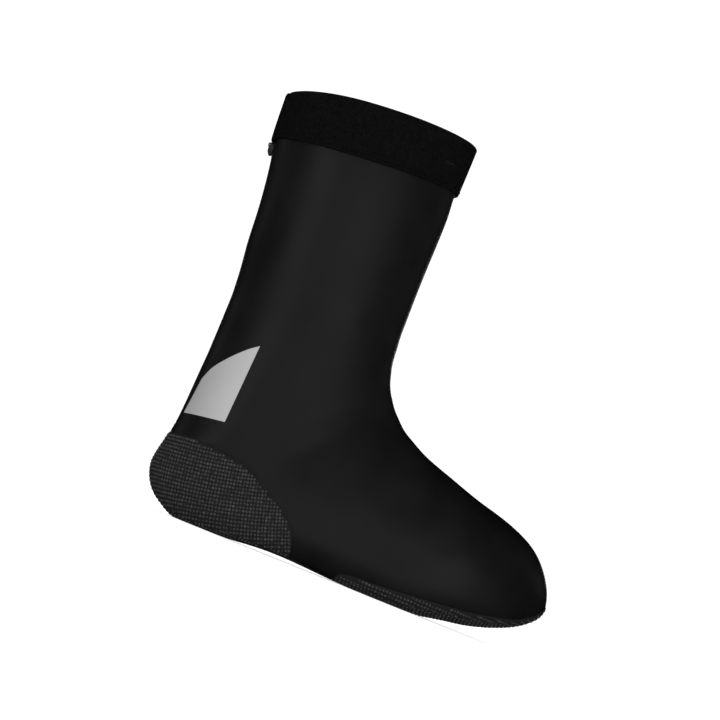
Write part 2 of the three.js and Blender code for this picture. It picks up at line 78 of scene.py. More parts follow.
class FormSizes(bpy.types.PropertyGroup):
    """Driving sizes of the overshoe's form."""

    length: size("Length", "Heel to toe", 284)
    ball_width: size("Ball width", "Width across the ball of the foot", 99)
    heel_width: size("Heel width", "Width across the heel", 75)
    instep_height: size("Instep height", "Height of the instep over the floor", 121)
    collar_height: size("Collar height", "Height of the collar at its rear", 294)
    collar_rise: size("Collar rise", "How much higher the collar is in front", 13.4)
    collar_depth: size("Collar depth", "Front to rear at the collar", 130)
    collar_width: size("Collar width", "Side to side at the collar", 99)
    collar_overhang: size("Collar overhang", "How far the collar leans behind the heel", 7)
    wall: size("Wall", "Thickness of the coated fabric", 1.8)
    gap: size("Gap", "Space between neighbouring pieces", 0.3)


class TrimSizes(bpy.types.PropertyGroup):
    """Sizes of the panels, the hem, the cuff and the patch."""

    panel_step: size("Panel step", "How far the mesh panels stand proud", 0.5)
    lap: size("Lap", "How far the upper reaches under the mesh panels", 3)
    dot_pitch: size("Dot pitch", "From one dot of the mesh to the next", 2.5)
    dot_width: size("Dot width", "Across one dot of the mesh", 1.7)
    dot_height: size("Dot height", "How far a dot stands out", 0.35)
    cuff_height: size("Cuff height", "Height of the closing band", 31)
    cuff_proud: size("Cuff proud", "How far the band stands out", 2.6)
    cuff_arch: size("Cuff arch", "How much higher the band is at its sides", 2)
    cuff_fold: size("Cuff fold", "How much higher the band's folded edge stands", 1.6)
    cuff_sag: size("Cuff sag", "How much lower the band is at its sides", 1.5)
    cuff_overlap: size("Cuff overlap", "How far the upper reaches into the band", 8)
    tab_thickness: size("Tab thickness", "Thickness of the band's closing end", 1.5)
    tab_width_outer: size("Tab width, outer", "Reach of the closing end on the outer side", 15.5)
    tab_width_inner: size("Tab width, inner", "Reach of the closing end on the inner side", 21.5)
    tab_drop: size("Tab drop", "How far the closing end hangs below the band", 1)
    opening_from_heel: size("Opening from heel", "Heel to the opening under the foot", 48)
    opening_from_toe: size("Opening from toe", "Toe to the opening under the foot", 72)
    sole_wrap: size("Sole wrap", "How far the fabric wraps under the foot", 10.5)
    binding_width: size("Binding width", "Width of the hem round the opening", 4)
    patch_thickness: size("Patch thickness", "Thickness of the reflective patch", 0.3)


class ZipSizes(bpy.types.PropertyGroup):
    """Sizes of the rear zip."""

    tape_width: size("Tape width", "Width of one tape", 8)
    tape_sink: size("Tape sink", "How far the tapes lie under the surface", 0.3)
    tape_thickness: size("Tape thickness", "Thickness of the tapes", 1)
    above_panel: size("Above panel", "From the heel panel to the zip", 8)
    coil_width: size("Coil width", "Width of the coil behind the tapes", 5)
    coil_pitch: size("Coil pitch", "From one turn of the coil to the next", 1.6)
    slider_length: size("Slider length", "Length of the slider", 9)
    slider_width: size("Slider width", "Width of the slider", 8)
    slider_thickness: size("Slider thickness", "Thickness of the slider's shield", 1.3)
    bridge_width: size("Bridge width", "Width of the bridge over the pin", 1.8)
    bridge_wall: size("Bridge wall", "Thickness of the bridge", 0.8)
    pin_thickness: size("Pin thickness", "Across the pull tab's pin", 0.9)
    pin_space: size("Pin space", "Running space round the pin", 0.35)
    pull_length: size("Pull length", "Pin to the pull tab's foot", 7.5)
    pull_width: size("Pull width", "Width of the pull tab", 5.6)
    pull_thickness: size("Pull thickness", "Thickness of the pull tab", 1)
    pull_bow: size("Pull bow", "How far the pull tab's foot bends to the tape", 1.8)
    rail_width: size("Rail width", "Thickness of the slider's guards beside the pull tab", 0.8)
    rail_height: size("Rail height", "How far the guards stand out", 1.7)
    fork_depth: size("Fork depth", "Depth of the pull tab's fork", 2.3)


class Finishes(bpy.types.PropertyGroup):
    """Colours of the materials."""

    coated: colour("Coated fabric", "Smooth black stretch fabric", (0.0048, 0.0048, 0.0050))
    lining: colour("Lining", "Brushed inner face", (0.006, 0.006, 0.0064))
    mesh_ground: colour("Mesh ground", "Between the dots of the panels", (0.0085, 0.0085, 0.0088))
    mesh_dot: colour("Mesh dots", "Raised dots of the panels", (0.034, 0.034, 0.035))
    knit: colour("Knitted band", "Closing band", (0.0022, 0.0022, 0.0023))
    film: colour("Reflective film", "Patch beside the heel", (0.30, 0.30, 0.30))
    tape: colour("Zip tape", "Coated tapes", (0.0075, 0.0075, 0.008))
    metal: colour("Zip metal", "Slider and pull tab", (0.035, 0.035, 0.037))
    thread: colour("Thread", "Stitches", (0.010, 0.010, 0.0105))
    light_thread: colour("Light thread", "Bar tack on the band", (0.006, 0.006, 0.006))


class StageSizes(bpy.types.PropertyGroup):
    """Camera."""

    distance: FloatProperty(
        name="Camera distance", description="From the middle plane", default=1.7, min=0.5, unit="LENGTH"
    )
    height: FloatProperty(
        name="Camera height", description="Over the floor", default=0.015, min=0.005, unit="LENGTH"
    )
    along: FloatProperty(
        name="Camera along", description="Towards the toe", default=0.0027, unit="LENGTH"
    )
    aim_along: FloatProperty(
        name="Aim along", description="Towards the toe", default=-0.0327, unit="LENGTH"
    )
    aim_height: FloatProperty(
        name="Aim height", description="Over the floor", default=0.1456, unit="LENGTH"
    )
    lens: FloatProperty(
        name="Lens", description="Focal length in millimetres", default=125.8, min=20, unit="CAMERA"
    )
    roll: FloatProperty(
        name="Roll", description="Turn about the view", default=math.radians(22), subtype="ANGLE"
    )


SECTION_COLUMNS = ("low_x", "low_z", "top_x", "top_z", "half", "widest", "round_low", "round_top", "shift")

# Shaft sections from the collar down to the ankle. Height counts from the ankle to the
# cuff's seam, rise is the share of the collar's rise, rear and front are shares of the
# way from the ankle's edge to the collar's, width is a share of the collar's width.
SHAFT_COLUMNS = ("height", "rise", "rear", "front", "width", "widest")
SHAFT_ROWS = (
    (0.81, 0.85, 0.63, 0.4, 0.97, 0.41),
    (0.52, 0.75, 0.36, 0.45, 0.935, 0.42),
    (0.26, 0.6, 0.21, 0.45, 0.89, 0.43),
)
COLLAR_ROW = dict(rise=1, rear=1, front=1, width=1, widest=0.41)
SEAM_ROW = dict(rise=0.82, rear=0.85, front=1.2, width=0.98, widest=0.41)

# Foot sections from the ankle to the toe. Low and top are the ends of a section in the
# middle plane, along as shares of the length, up as shares of the instep height. Half
# widths are shares of the heel width and of the ball width, added together. Widest is
# the share of the way from low to top where the section is widest, round gives the
# squareness below and above it, and shift moves it inwards as a share of the ball width.
FOOT_COLUMNS = (
    "low_x", "low_z", "top_x", "top_z", "heel", "ball", "widest", "round_low", "round_top", "shift",
)
FOOT_ROWS = (
    (0.0235, 1.364, 0.4387, 1.421, 1.115, 0, 0.43, 2, 2.1, 0),
    (0.0262, 1.05, 0.4437, 1.265, 1.05, 0, 0.43, 2, 2.1, 0),
    (0.0228, 0.76, 0.4503, 1.195, 1.025, 0, 0.41, 2.1, 2.12, 0),
    (0.0162, 0.48, 0.4582, 1.136, 1.012, 0, 0.385, 2.2, 2.15, 0),
    (0.0025, 0.3, 0.4673, 1.093, 1.006, 0, 0.363, 2.35, 2.18, 0),
    (0.004, 0.2, 0.471, 1.079, 1.0025, 0, 0.356, 2.5, 2.19, 0),
    (0.026, 0.106, 0.4755, 1.064, 0.9985, 0, 0.35, 2.75, 2.2, 0),
    (0.066, 0.038, 0.481, 1.045, 0.995, 0, 0.345, 3.2, 2.2, 0),
    (0.132, -0.011, 0.4925, 1.01, 0.993, 0, 0.342, 3.8, 2.2, 0),
    (0.255, -0.004, 0.5106, 0.967, 0.815, 0.155, 0.34, 4, 2.2, -0.005),
    (0.36, 0.006, 0.532, 0.923, 0.5, 0.43, 0.33, 4, 2.2, -0.012),
    (0.475, -0.002, 0.562, 0.883, 0.2, 0.73, 0.32, 4, 2.25, -0.015),
    (0.585, -0.013, 0.606, 0.833, 0, 0.965, 0.31, 4, 2.3, -0.008),
    (0.68, -0.012, 0.676, 0.779, 0, 1, 0.31, 4, 2.35, 0.01),
    (0.76, 0.024, 0.753, 0.722, 0, 0.985, 0.32, 3.8, 2.35, 0.03),
    (0.83, 0.052, 0.82, 0.682, 0, 0.912, 0.33, 3.4, 2.3, 0.05),
    (0.893, 0.095, 0.884, 0.63, 0, 0.772, 0.34, 3, 2.25, 0.072),
    (0.942, 0.145, 0.933, 0.562, 0, 0.585, 0.35, 2.7, 2.2, 0.09),
    (0.976, 0.2, 0.968, 0.474, 0, 0.38, 0.37, 2.4, 2.1, 0.103),
    (0.994, 0.252, 0.99, 0.385, 0, 0.18, 0.42, 2.1, 2.05, 0.11),
    (1, 0.305, 1, 0.305, 0, 0, 0.5, 2, 2, 0.112),
)

# Edges of the heel panel and of the toe band and the outline of the patch in the side
# view: along as shares of the length, up as shares of the instep height.
HEEL_EDGE = (
    (-0.05, 0.425), (0.015, 0.431), (0.09, 0.441), (0.168, 0.422), (0.218, 0.403), (0.263, 0.355),
    (0.3, 0.31), (0.334, 0.258), (0.363, 0.2), (0.383, 0.12), (0.39, 0.02), (0.391, -0.1),
)
TOE_EDGE = (
    (0.5, -0.1), (0.505, 0.03), (0.53, 0.064), (0.602, 0.076), (0.687, 0.092), (0.754, 0.107),
    (0.813, 0.118), (0.866, 0.143), (0.922, 0.17), (0.957, 0.207), (0.982, 0.252), (1, 0.31), (1.02, 0.38),
)
PATCH_FOOT_REAR = (0.031, 0.558)
PATCH_FOOT_FRONT = (0.1331, 0.5876)
PATCH_TIP = (0.1426, 1.0455)
PATCH_BOW = ((0.0408, 0.77), (0.055, 0.845), (0.079, 0.914), (0.101, 0.967), (0.1225, 1.012))
OPENING_SQUARENESS = (2.6, 2.2)

# Soft troughs (depth over 0) and ridges (under 0) of the worn fabric, in the side view:
# from, over and to in shares of the length and the instep height, then depth and half
# width in millimetres and the side that they are on (-1 outer, 1 inner, 0 both).
CREASE_COLUMNS = ("from_x", "from_z", "over_x", "over_z", "to_x", "to_z", "depth", "width", "side")
CREASES = (
    (0.452, 1.43, 0.40, 1.405, 0.33, 1.36, 0.35, 7, 0),
    (0.450, 1.34, 0.41, 1.325, 0.36, 1.30, -0.2, 6, 0),
    (0.01, 1.30, 0.06, 1.27, 0.12, 1.26, 0.3, 9, 0),
    (0.01, 0.95, 0.05, 0.90, 0.10, 0.86, 0.4, 8, 1),
    (0.20, 0.72, 0.30, 0.62, 0.42, 0.56, 0.7, 16, 0),
    (0.42, 0.90, 0.50, 0.70, 0.60, 0.58, -0.5, 18, 0),
    (0.66, 0.75, 0.70, 0.55, 0.72, 0.34, 0.45, 9, -1),
    (0.73, 0.70, 0.76, 0.50, 0.77, 0.32, -0.35, 8, -1),
    (0.90, 0.58, 0.93, 0.46, 0.95, 0.36, 0.35, 6, -1),
    (0.68, 0.74, 0.71, 0.52, 0.70, 0.32, 0.4, 10, 1),
    (0.060, 0.16, 0.14, 0.125, 0.25, 0.11, 1.3, 2.2, 0),
)


# What counts as nothing in a length or an area, and the rounds of a search by halving.
TINY = 1e-12
HALVINGS = 30


def smooth(value):
    """0 below 0, 1 above 1 and the cubic 3t^2 - 2t^3 between."""
    t = np.clip(value, 0, 1)
    return t * t * (3 - 2 * t)


def signed_power(value, power):
    """The power of the size, with the sign of the value."""
    return np.sign(value) * np.abs(value) ** power


def unit(vectors):
    """Vectors of length 1 along the given ones."""
    return vectors / np.maximum(np.linalg.norm(vectors, axis=-1, keepdims=True), TINY)


def spanned(first, second):
    """The area that two plane vectors span, over 0 where the second is on the first one's left."""
    return first[..., 0] * second[..., 1] - first[..., 1] * second[..., 0]


def cubic(here, there, leaving, coming, t):
    """The cubic from one value to the next with a slope at each, for t from 0 to 1."""
    rise = there - here
    bend, turn = 3 * rise - 2 * leaving - coming, -2 * rise + leaving + coming
    return here + t * leaving + t**2 * bend + t**3 * turn


def even_slopes(rows):
    """Slopes at the rows that let the cubics between them bend without a jump.

    One slope, four times the next and the third add up to three times the rise over both spans.
    """
    rises = np.pad(np.diff(rows, axis=0), ((1, 1), (0, 0)))
    weights = 4 * np.eye(len(rows)) + np.eye(len(rows), k=1) + np.eye(len(rows), k=-1)
    weights[0, 0] = weights[-1, -1] = 2
    return np.linalg.solve(weights, 3 * (rises[1:] + rises[:-1]))


def spline(corners, per_span):
    """Points of the cubic curve through all corners.

    Its slope at each corner is half the way from the corner before to the corner after.
    """
    corners = np.asarray(corners, float)
    spans = len(corners) - 1
    along = np.linspace(0, spans, spans * per_span + 1)
    row = np.minimum(along.astype(int), spans - 1)
    t = (along - row)[:, None]
    before, here, there, after = (corners[np.clip(row + step, 0, spans)] for step in (-1, 0, 1, 2))
    return cubic(here, there, (there - before) / 2, (after - here) / 2, t)


def beside_line(points, line):
    """How far plane points are from a chain of segments, over 0 on its left, and the share along it."""
    start, run = line[:-1], np.diff(line, axis=0)
    away = points[:, None, :] - start[None]
    share = np.clip((away * run).sum(-1) / (run * run).sum(-1), 0, 1)
    miss = away - share[..., None] * run
    nearest = np.argmin((miss**2).sum(-1), axis=1)
    rows = np.arange(len(points))
    miss = miss[rows, nearest]
    along = (nearest + share[rows, nearest]) / len(run)
    return np.sign(spanned(run[nearest], miss)) * np.linalg.norm(miss, axis=1), along


class Form:
    """The overshoe's outer surface: a stack of sections from the collar, round the heel, to the toe.

    place counts the sections from the collar (0) to the tip of the toe. angle goes round a section from
    its rear or underside (0) over the inner side to its front or top (half a turn). A section is an oval
    in its own plane: along is the power 2/round of the cosine, across that of the sine.
    """

    # step in place and angle to the neighbours that give a normal
    NUDGE = 0.02
    # share of a crease over which it fades at each end, and the width over which one side's crease ends
    CREASE_FADE = 0.3
    SIDE_BLEND = 16 * MM
    # softness of the fabric's turn onto the floor
    FLOOR_TURN = 0.5 * MM
    # how many sections over the collar a place may lie
    OVER_COLLAR = 1.5
    # the net of places and angles that a search starts from, and its damped steps
    NET = (97, 41)
    SEARCH_STEPS = 30
    SEARCH_NUDGE = 1e-4
    LONGEST_STEP = (0.4, 0.2)

    def __init__(self, sizes, cuff_height, shift):
        self.sizes = sizes
        foot = dict(zip(FOOT_COLUMNS, np.array(FOOT_ROWS, float).T))
        ankle = foot["low_z"][0] * sizes.instep_height
        self.seam = sizes.collar_height - cuff_height
        shaft = [dict(zip(SHAFT_COLUMNS, row)) for row in SHAFT_ROWS]
        rows = [self.shaft_row(sizes.collar_height, COLLAR_ROW), self.shaft_row(self.seam, SEAM_ROW)]
        rows += [self.shaft_row(ankle + row["height"] * (self.seam - ankle), row) for row in shaft]
        self.first_foot_row = len(rows)
        foot_rows = np.stack(
            [
                foot["low_x"] * sizes.length,
                foot["low_z"] * sizes.instep_height,
                foot["top_x"] * sizes.length,
                foot["top_z"] * sizes.instep_height,
                (foot["heel"] * sizes.heel_width + foot["ball"] * sizes.ball_width) / 2,
                foot["widest"],
                foot["round_low"],
                foot["round_top"],
                foot["shift"] * sizes.ball_width,
            ],
            axis=1,
        )
        self.rows = np.concatenate([np.array(rows), foot_rows])
        self.slopes = even_slopes(self.rows)
        self.toe = len(self.rows) - 1
        self.shift = np.array([shift, 0, 0])

    def shaft_row(self, up, row):
        """One section of the shaft in the order of SECTION_COLUMNS."""
        sizes = self.sizes
        ankle_rear = FOOT_ROWS[0][0] * sizes.length
        ankle_front = FOOT_ROWS[0][2] * sizes.length
        collar_front = sizes.collar_depth - sizes.collar_overhang
        return [
            ankle_rear + row["rear"] * (-sizes.collar_overhang - ankle_rear),
            up,
            ankle_front + row["front"] * (collar_front - ankle_front),
            up + row["rise"] * sizes.collar_rise,
            row["width"] * sizes.collar_width / 2,
            row["widest"],
            2,
            2,
            0,
        ]

    def sections(self, place):
        """The table's columns at any place: a cubic through the rows, straight on above the collar."""
        row = np.clip(np.floor(place).astype(int), 0, self.toe - 1)
        t = (place - row)[..., None]
        here, leaving = self.rows[row], self.slopes[row]
        curve = cubic(here, self.rows[row + 1], leaving, self.slopes[row + 1], t)
        return dict(zip(SECTION_COLUMNS, np.moveaxis(np.where(t < 0, here + t * leaving, curve), -1, 0)))

    def points(self, place, angle):
        """Points of the surface in the shoe's own frame, heel at 0."""
        place, angle = np.broadcast_arrays(np.asarray(place, float), np.asarray(angle, float))
        section = self.sections(place)
        to_low = np.cos(angle)
        power = 2 / np.where(to_low > 0, section["round_low"], section["round_top"])
        reach = np.abs(to_low) ** power
        widest = section["widest"]
        along = np.where(to_low > 0, widest * (1 - reach), widest + (1 - widest) * reach)
        return np.stack(
            [
                section["low_x"] + along * (section["top_x"] - section["low_x"]),
                section["shift"] + section["half"] * signed_power(np.sin(angle), power),
                section["low_z"] + along * (section["top_z"] - section["low_z"]),
            ],
            axis=-1,
        )

    def normals(self, place, angle):
        """Outward normals, from the surface's slopes round and down it."""
        here = np.minimum(place, self.toe - self.NUDGE)
        around = self.points(here, angle + self.NUDGE) - self.points(here, angle - self.NUDGE)
        down = self.points(here + self.NUDGE, angle) - self.points(here - self.NUDGE, angle)
        at_tip = (np.asarray(place) >= self.toe)[..., None]
        return np.where(at_tip, np.array([1.0, 0, 0]), unit(np.cross(around, down)))

    def relief(self, points):
        """Height of the worn fabric over the plain form.

        Each crease is a bell across its line that fades at its ends.
        """
        scale = np.array([self.sizes.length, self.sizes.instep_height])
        height = np.zeros(len(points))
        for row in CREASES:
            crease = dict(zip(CREASE_COLUMNS, row))
            knees = [(crease[f"{key}_x"], crease[f"{key}_z"]) for key in ("from", "over", "to")]
            line = spline(np.array(knees) * scale, 6)
            distance, along = beside_line(points[:, [0, 2]], line)
            bell = np.exp(-((distance / (crease["width"] * MM)) ** 2))
            fade = smooth(along / self.CREASE_FADE) * smooth((1 - along) / self.CREASE_FADE)
            side = crease["side"]
            there = smooth(0.5 + side * points[:, 1] / self.SIDE_BLEND) if side else 1
            height -= crease["depth"] * MM * bell * fade * there
        return height

    def surface(self, place, angle, offset=0.0, floor=0.0):
        """Points in the frame's place, offset along the normal, with the creases, no lower than a floor.

        What would sink lies on the floor: half of the sum of its height and of the root of the squares of
        its height and of the turn's softness.
        """
        place, angle = np.broadcast_arrays(np.asarray(place, float), np.asarray(angle, float))
        plain = self.points(place, angle)
        height = self.relief(plain.reshape(-1, 3)).reshape(place.shape) + offset
        worn = plain + self.normals(place, angle) * height[..., None]
        up = worn[..., 2] - floor
        worn[..., 2] = floor + (up + np.sqrt(up**2 + self.FLOOR_TURN**2)) / 2
        return worn + self.shift

    def place_at(self, height):
        """Places whose section is at a height over the cuff's seam at its rear, by halving."""
        high = np.full(np.shape(height), -self.OVER_COLLAR)
        low = np.full(np.shape(height), float(self.first_foot_row))
        for _ in range(HALVINGS):
            middle = (high + low) / 2
            over = self.sections(middle)["low_z"] > self.seam + height
            high = np.where(over, middle, high)
            low = np.where(over, low, middle)
        return (high + low) / 2

    def find(self, axes, target, from_angle, to_angle):
        """Places and angles where two coordinates are the target's.

        The nearest of a coarse net comes first, then damped Newton steps.
        """
        places, angles = np.meshgrid(
            np.linspace(0, self.toe - 0.1, self.NET[0]),
            np.linspace(from_angle, to_angle, self.NET[1]),
            indexing="ij",
        )
        net = self.points(places, angles).reshape(-1, 3)[:, axes]
        nearest = np.concatenate(
            [np.argmin(((part[:, None] - net[None]) ** 2).sum(-1), axis=1)
             for part in np.array_split(target, max(1, len(target) // 400))]
        )
        place, angle = places.ravel()[nearest].copy(), angles.ravel()[nearest].copy()
        step = self.SEARCH_NUDGE
        most_place, most_angle = self.LONGEST_STEP
        for _ in range(self.SEARCH_STEPS):
            here = self.points(place, angle)[:, axes]
            miss = target - here
            by_place = (self.points(place + step, angle)[:, axes] - here) / step
            by_angle = (self.points(place, angle + step)[:, axes] - here) / step
            area = spanned(by_place, by_angle)
            area = np.where(np.abs(area) < TINY, TINY, area)
            place += np.clip(spanned(miss, by_angle) / area / 2, -most_place, most_place)
            angle += np.clip(spanned(by_place, miss) / area / 2, -most_angle, most_angle)
        return place, angle


def quads(rows, columns, closed=False, looped=False):
    """Faces of a grid, closed where its last column joins its first, looped where its last row does."""
    row = np.arange(rows if looped else rows - 1)[:, None]
    column = np.arange(columns if closed else columns - 1)[None]
    after = (column + 1) % columns
    here, below = row * columns, (row + 1) % rows * columns
    return np.stack([here + column, here + after, below + after, below + column], axis=-1).reshape(-1, 4)


def wrapped(angle):
    """The same turn between minus and plus half a turn."""
    return (angle + math.pi) % (2 * math.pi) - math.pi


class Cloth:
    """A fabric piece cut from the form: corners in place and angle, and faces.

    A face has four corners, and a triangle repeats its last one.
    """

    # share of an edge within which a corner moves onto the border
    SNAP = 0.32
    # least step in place between the piece's own start and the next ring
    FIRST_STEP = 0.03
    # longest way from ring to ring, and corners round a ring
    STEP = 2.2 * MM
    AROUND = 176

    def __init__(self, form, start=0.0):
        turns = np.arange(self.AROUND) * 2 * math.pi / self.AROUND
        rows = form.points(np.arange(form.toe + 1)[:, None], turns[None])
        longest = np.linalg.norm(np.diff(rows, axis=0), axis=-1).max(axis=1)
        counts = np.maximum(4, np.ceil(longest / self.STEP).astype(int))
        rings = np.concatenate(
            [row + np.arange(count) / count for row, count in enumerate(counts)] + [[form.toe]]
        )
        places = np.concatenate([[start], rings[rings > start + self.FIRST_STEP]])
        # closer together at the middle plane and the sides, where square sections turn
        angles = turns - np.sin(4 * turns) / 8
        place, angle = np.meshgrid(places, angles, indexing="ij")
        self.form = form
        self.place, self.angle = place.ravel(), angle.ravel()
        self.faces = quads(len(places), self.AROUND, closed=True)

    def plain(self):
        """Points of the plain form at the corners."""
        return self.form.points(self.place, self.angle)

    def edges(self):
        """Each edge of the faces once, and how many faces use it."""
        pairs = np.stack([self.faces, np.roll(self.faces, -1, axis=1)], axis=-1).reshape(-1, 2)
        pairs = pairs[pairs[:, 0] != pairs[:, 1]]
        return np.unique(np.sort(pairs, axis=1), axis=0, return_counts=True)

    def trim(self, border):
        """Keeps what lies where border(points) is over 0.

        Corners near the border are moved onto it, and faces that cross it are cut there.
        """
        value = border(self.plain())
        first, second = self.edges()[0].T
        across = value[first] * value[second] < 0
        first, second = first[across], second[across]
        share = value[first] / (value[first] - value[second])
        corner = np.concatenate([first, second])
        other = np.concatenate([second, first])
        near = np.concatenate([share, 1 - share])
        order = np.argsort(-near)
        order = order[near[order] < self.SNAP]
        corner, other, near = corner[order], other[order], near[order]
        place, angle = self.place.copy(), self.angle.copy()
        place[corner] = self.place[corner] + near * (self.place[other] - self.place[corner])
        angle[corner] = self.angle[corner] + near * wrapped(self.angle[other] - self.angle[corner])
        value[corner] = 0
        self.place, self.angle = place, angle
        values = value[self.faces]
        whole = (values >= 0).all(1) & (values > 0).any(1)
        mixed = (values > 0).any(1) & (values < 0).any(1)
        torn = self.faces[mixed]
        triangles = np.concatenate([torn[:, [0, 1, 2]], torn[torn[:, 2] != torn[:, 3]][:, [0, 2, 3]]])
        self.faces = np.concatenate([self.faces[whole], self.cut(triangles, value)])
        used, inverse = np.unique(self.faces, return_inverse=True)
        self.faces = inverse.reshape(-1, 4)
        self.place, self.angle = self.place[used], self.angle[used]
        return self

    def cut(self, triangles, value):
        """The parts of triangles where value is over 0, with new corners on the crossed edges."""
        signs = np.sign(value[triangles])
        kept = triangles[(signs >= 0).all(1) & (signs > 0).any(1)]
        over, under = (signs > 0).sum(1), (signs < 0).sum(1)

        def led_by(chosen, sign):
            """The chosen triangles, turned so that the corner with that sign comes first."""
            lead = np.argmax(signs[chosen] == sign, axis=1)
            return np.take_along_axis(triangles[chosen], (lead[:, None] + np.arange(3)) % 3, axis=1)

        tips = led_by((over == 1) & (under == 2), 1)
        bases = led_by((over == 2) & (under == 1), -1)
        halves = led_by((over == 1) & (under == 1), 0)
        rising = value[halves[:, 1]] > 0
        crossed = np.concatenate(
            [tips[:, [0, 1]], tips[:, [0, 2]], bases[:, [0, 1]], bases[:, [0, 2]], halves[:, [1, 2]]]
        )
        pairs, new = np.unique(np.sort(crossed, axis=1), axis=0, return_inverse=True)
        new = new.ravel() + len(self.place)
        ends = np.cumsum([len(tips), len(tips), len(bases), len(bases)])
        tip_a, tip_b, base_a, base_b, half_cut = np.split(new, ends)
        a, b = pairs.T
        share = value[a] / (value[a] - value[b])
        self.place = np.append(self.place, self.place[a] + share * (self.place[b] - self.place[a]))
        self.angle = np.append(self.angle, self.angle[a] + share * wrapped(self.angle[b] - self.angle[a]))
        half = np.where(
            rising[:, None],
            np.stack([halves[:, 0], halves[:, 1], half_cut], axis=1),
            np.stack([halves[:, 0], half_cut, halves[:, 2]], axis=1),
        )
        small = np.concatenate([kept, np.stack([tips[:, 0], tip_a, tip_b], axis=1), half])
        small = np.concatenate([small, small[:, 2:]], axis=1)
        return np.concatenate([small, np.stack([bases[:, 1], bases[:, 2], base_b, base_a], axis=1)])

    def rim(self):
        """The border's edges in the direction of their faces."""
        pairs = np.stack([self.faces, np.roll(self.faces, -1, axis=1)], axis=-1).reshape(-1, 2)
        pairs = pairs[pairs[:, 0] != pairs[:, 1]]
        _, index, count = np.unique(np.sort(pairs, axis=1), axis=0, return_index=True, return_counts=True)
        return pairs[index[count == 1]]


# corners closer than this become one
WELD = 1e-7
# how much a fabric's rim is rounded
RIM_DIP = 0.25 * MM
# how far a fabric looks down where it begins to count as lying, and over how much more it comes to lie whole
LYING_FROM = 0.3
LYING_BLEND = 0.4


def outward(points, faces):
    """The faces of a closed shell, turned round if its volume comes out under 0."""
    a, b, c, d = (points[faces[:, corner]] for corner in range(4))
    volume = (np.cross(a, b) * c).sum() + (np.cross(a, c) * d).sum()
    return faces if volume > 0 else np.concatenate([faces[:, 1::-1], faces[:, :1:-1]], axis=1)


def placed(name, data):
    """A new object in the scene."""
    thing = bpy.data.objects.new(name, data)
    bpy.context.scene.collection.objects.link(thing)
    return thing


def smoothed(name, mesh, crease_angle):
    """A mesh as an object in the scene, smooth up to a crease angle in degrees."""
    mesh.validate()
    mesh.shade_smooth()
    mesh.set_sharp_from_angle(angle=math.radians(crease_angle))
    return placed(name, mesh)


def new_mesh(name, points, faces, uv=None, slots=None, crease_angle=50):
    """An object from points and faces whose triangles repeat their last corner.

    Corners at one spot are merged, and a quad that has two equal neighbours then becomes a triangle.
    """
    points = np.asarray(points, float).reshape(-1, 3)
    faces = outward(points, np.asarray(faces).reshape(-1, 4))
    slots = np.zeros(len(faces), np.int32) if slots is None else slots
    uv = np.zeros((len(points), 2)) if uv is None else np.asarray(uv, float).reshape(-1, 2)
    keys = np.round(points / WELD).astype(np.int64)
    _, first, inverse = np.unique(keys, axis=0, return_index=True, return_inverse=True)
    merged = inverse.ravel()[faces]
    twin = merged == np.roll(merged, -1, axis=1)
    lead = np.where(twin.any(axis=1), np.argmax(twin, axis=1) + 2, 0)
    order = (lead[:, None] + np.arange(4)) % 4
    sound = twin.sum(axis=1) < 2
    merged = np.take_along_axis(merged, order, axis=1)[sound]
    source = np.take_along_axis(faces, order, axis=1)[sound]
    slots = slots[sound]
    count = np.where(merged[:, 2] == merged[:, 3], 3, 4)
    used = np.arange(4)[None] < count[:, None]
    corners = merged[used]
    points = points[first]
    faces = merged
    mesh = bpy.data.meshes.new(name)
    mesh.vertices.add(len(points))
    mesh.vertices.foreach_set("co", points.ravel())
    mesh.loops.add(len(corners))
    mesh.loops.foreach_set("vertex_index", corners.astype(np.int32))
    mesh.polygons.add(len(faces))
    mesh.polygons.foreach_set("loop_start", (np.cumsum(count) - count).astype(np.int32))
    mesh.polygons.foreach_set("material_index", slots.astype(np.int32))
    mesh.update(calc_edges=True)
    layer = mesh.uv_layers.new(name="cloth")
    layer.data.foreach_set("uv", uv[source[used]].ravel().astype(np.float32))
    return smoothed(name, mesh, crease_angle)


def dress(piece, materials, replaced=(), body=BODY):
    """Gives a piece its materials, lets it ride on its body and hides the solids it replaces."""
    for material in materials:
        piece.data.materials.append(material)
    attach(piece, body)
    if replaced:
        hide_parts(*replaced)
    return piece


def walled(cloth, name, outer, inner, floor=0.0):
    """A cloth with its wall: an outer and an inner face at two offsets, and a rim between them.

    The rim's outer corners lie a little lower, which rounds it. Where the cloth lies on the floor, its
    inner face is a wall higher. The inner face takes the second material.
    """
    rim = cloth.rim()
    dip = np.zeros(len(cloth.place))
    dip[rim.ravel()] = RIM_DIP
    outside = cloth.form.surface(cloth.place, cloth.angle, outer - dip, floor)
    inside = cloth.form.surface(cloth.place, cloth.angle, inner)
    lying = smooth((-cloth.form.normals(cloth.place, cloth.angle)[:, 2] - LYING_FROM) / LYING_BLEND)
    inside[:, 2] = np.maximum(inside[:, 2], outside[:, 2] + (outer - inner) * lying)
    count = len(outside)
    back = cloth.faces[:, [0, 3, 2, 1]] + count
    small = cloth.faces[:, 2] == cloth.faces[:, 3]
    back[small] = cloth.faces[small][:, [0, 2, 1, 1]] + count
    sides = np.stack([rim[:, 1], rim[:, 0], rim[:, 0] + count, rim[:, 1] + count], axis=1)
    slots = np.repeat([0, 0, 1], [len(cloth.faces), len(sides), len(back)])
    points = np.concatenate([outside, inside])
    return new_mesh(name, points, np.concatenate([cloth.faces, sides, back]), slots=slots)


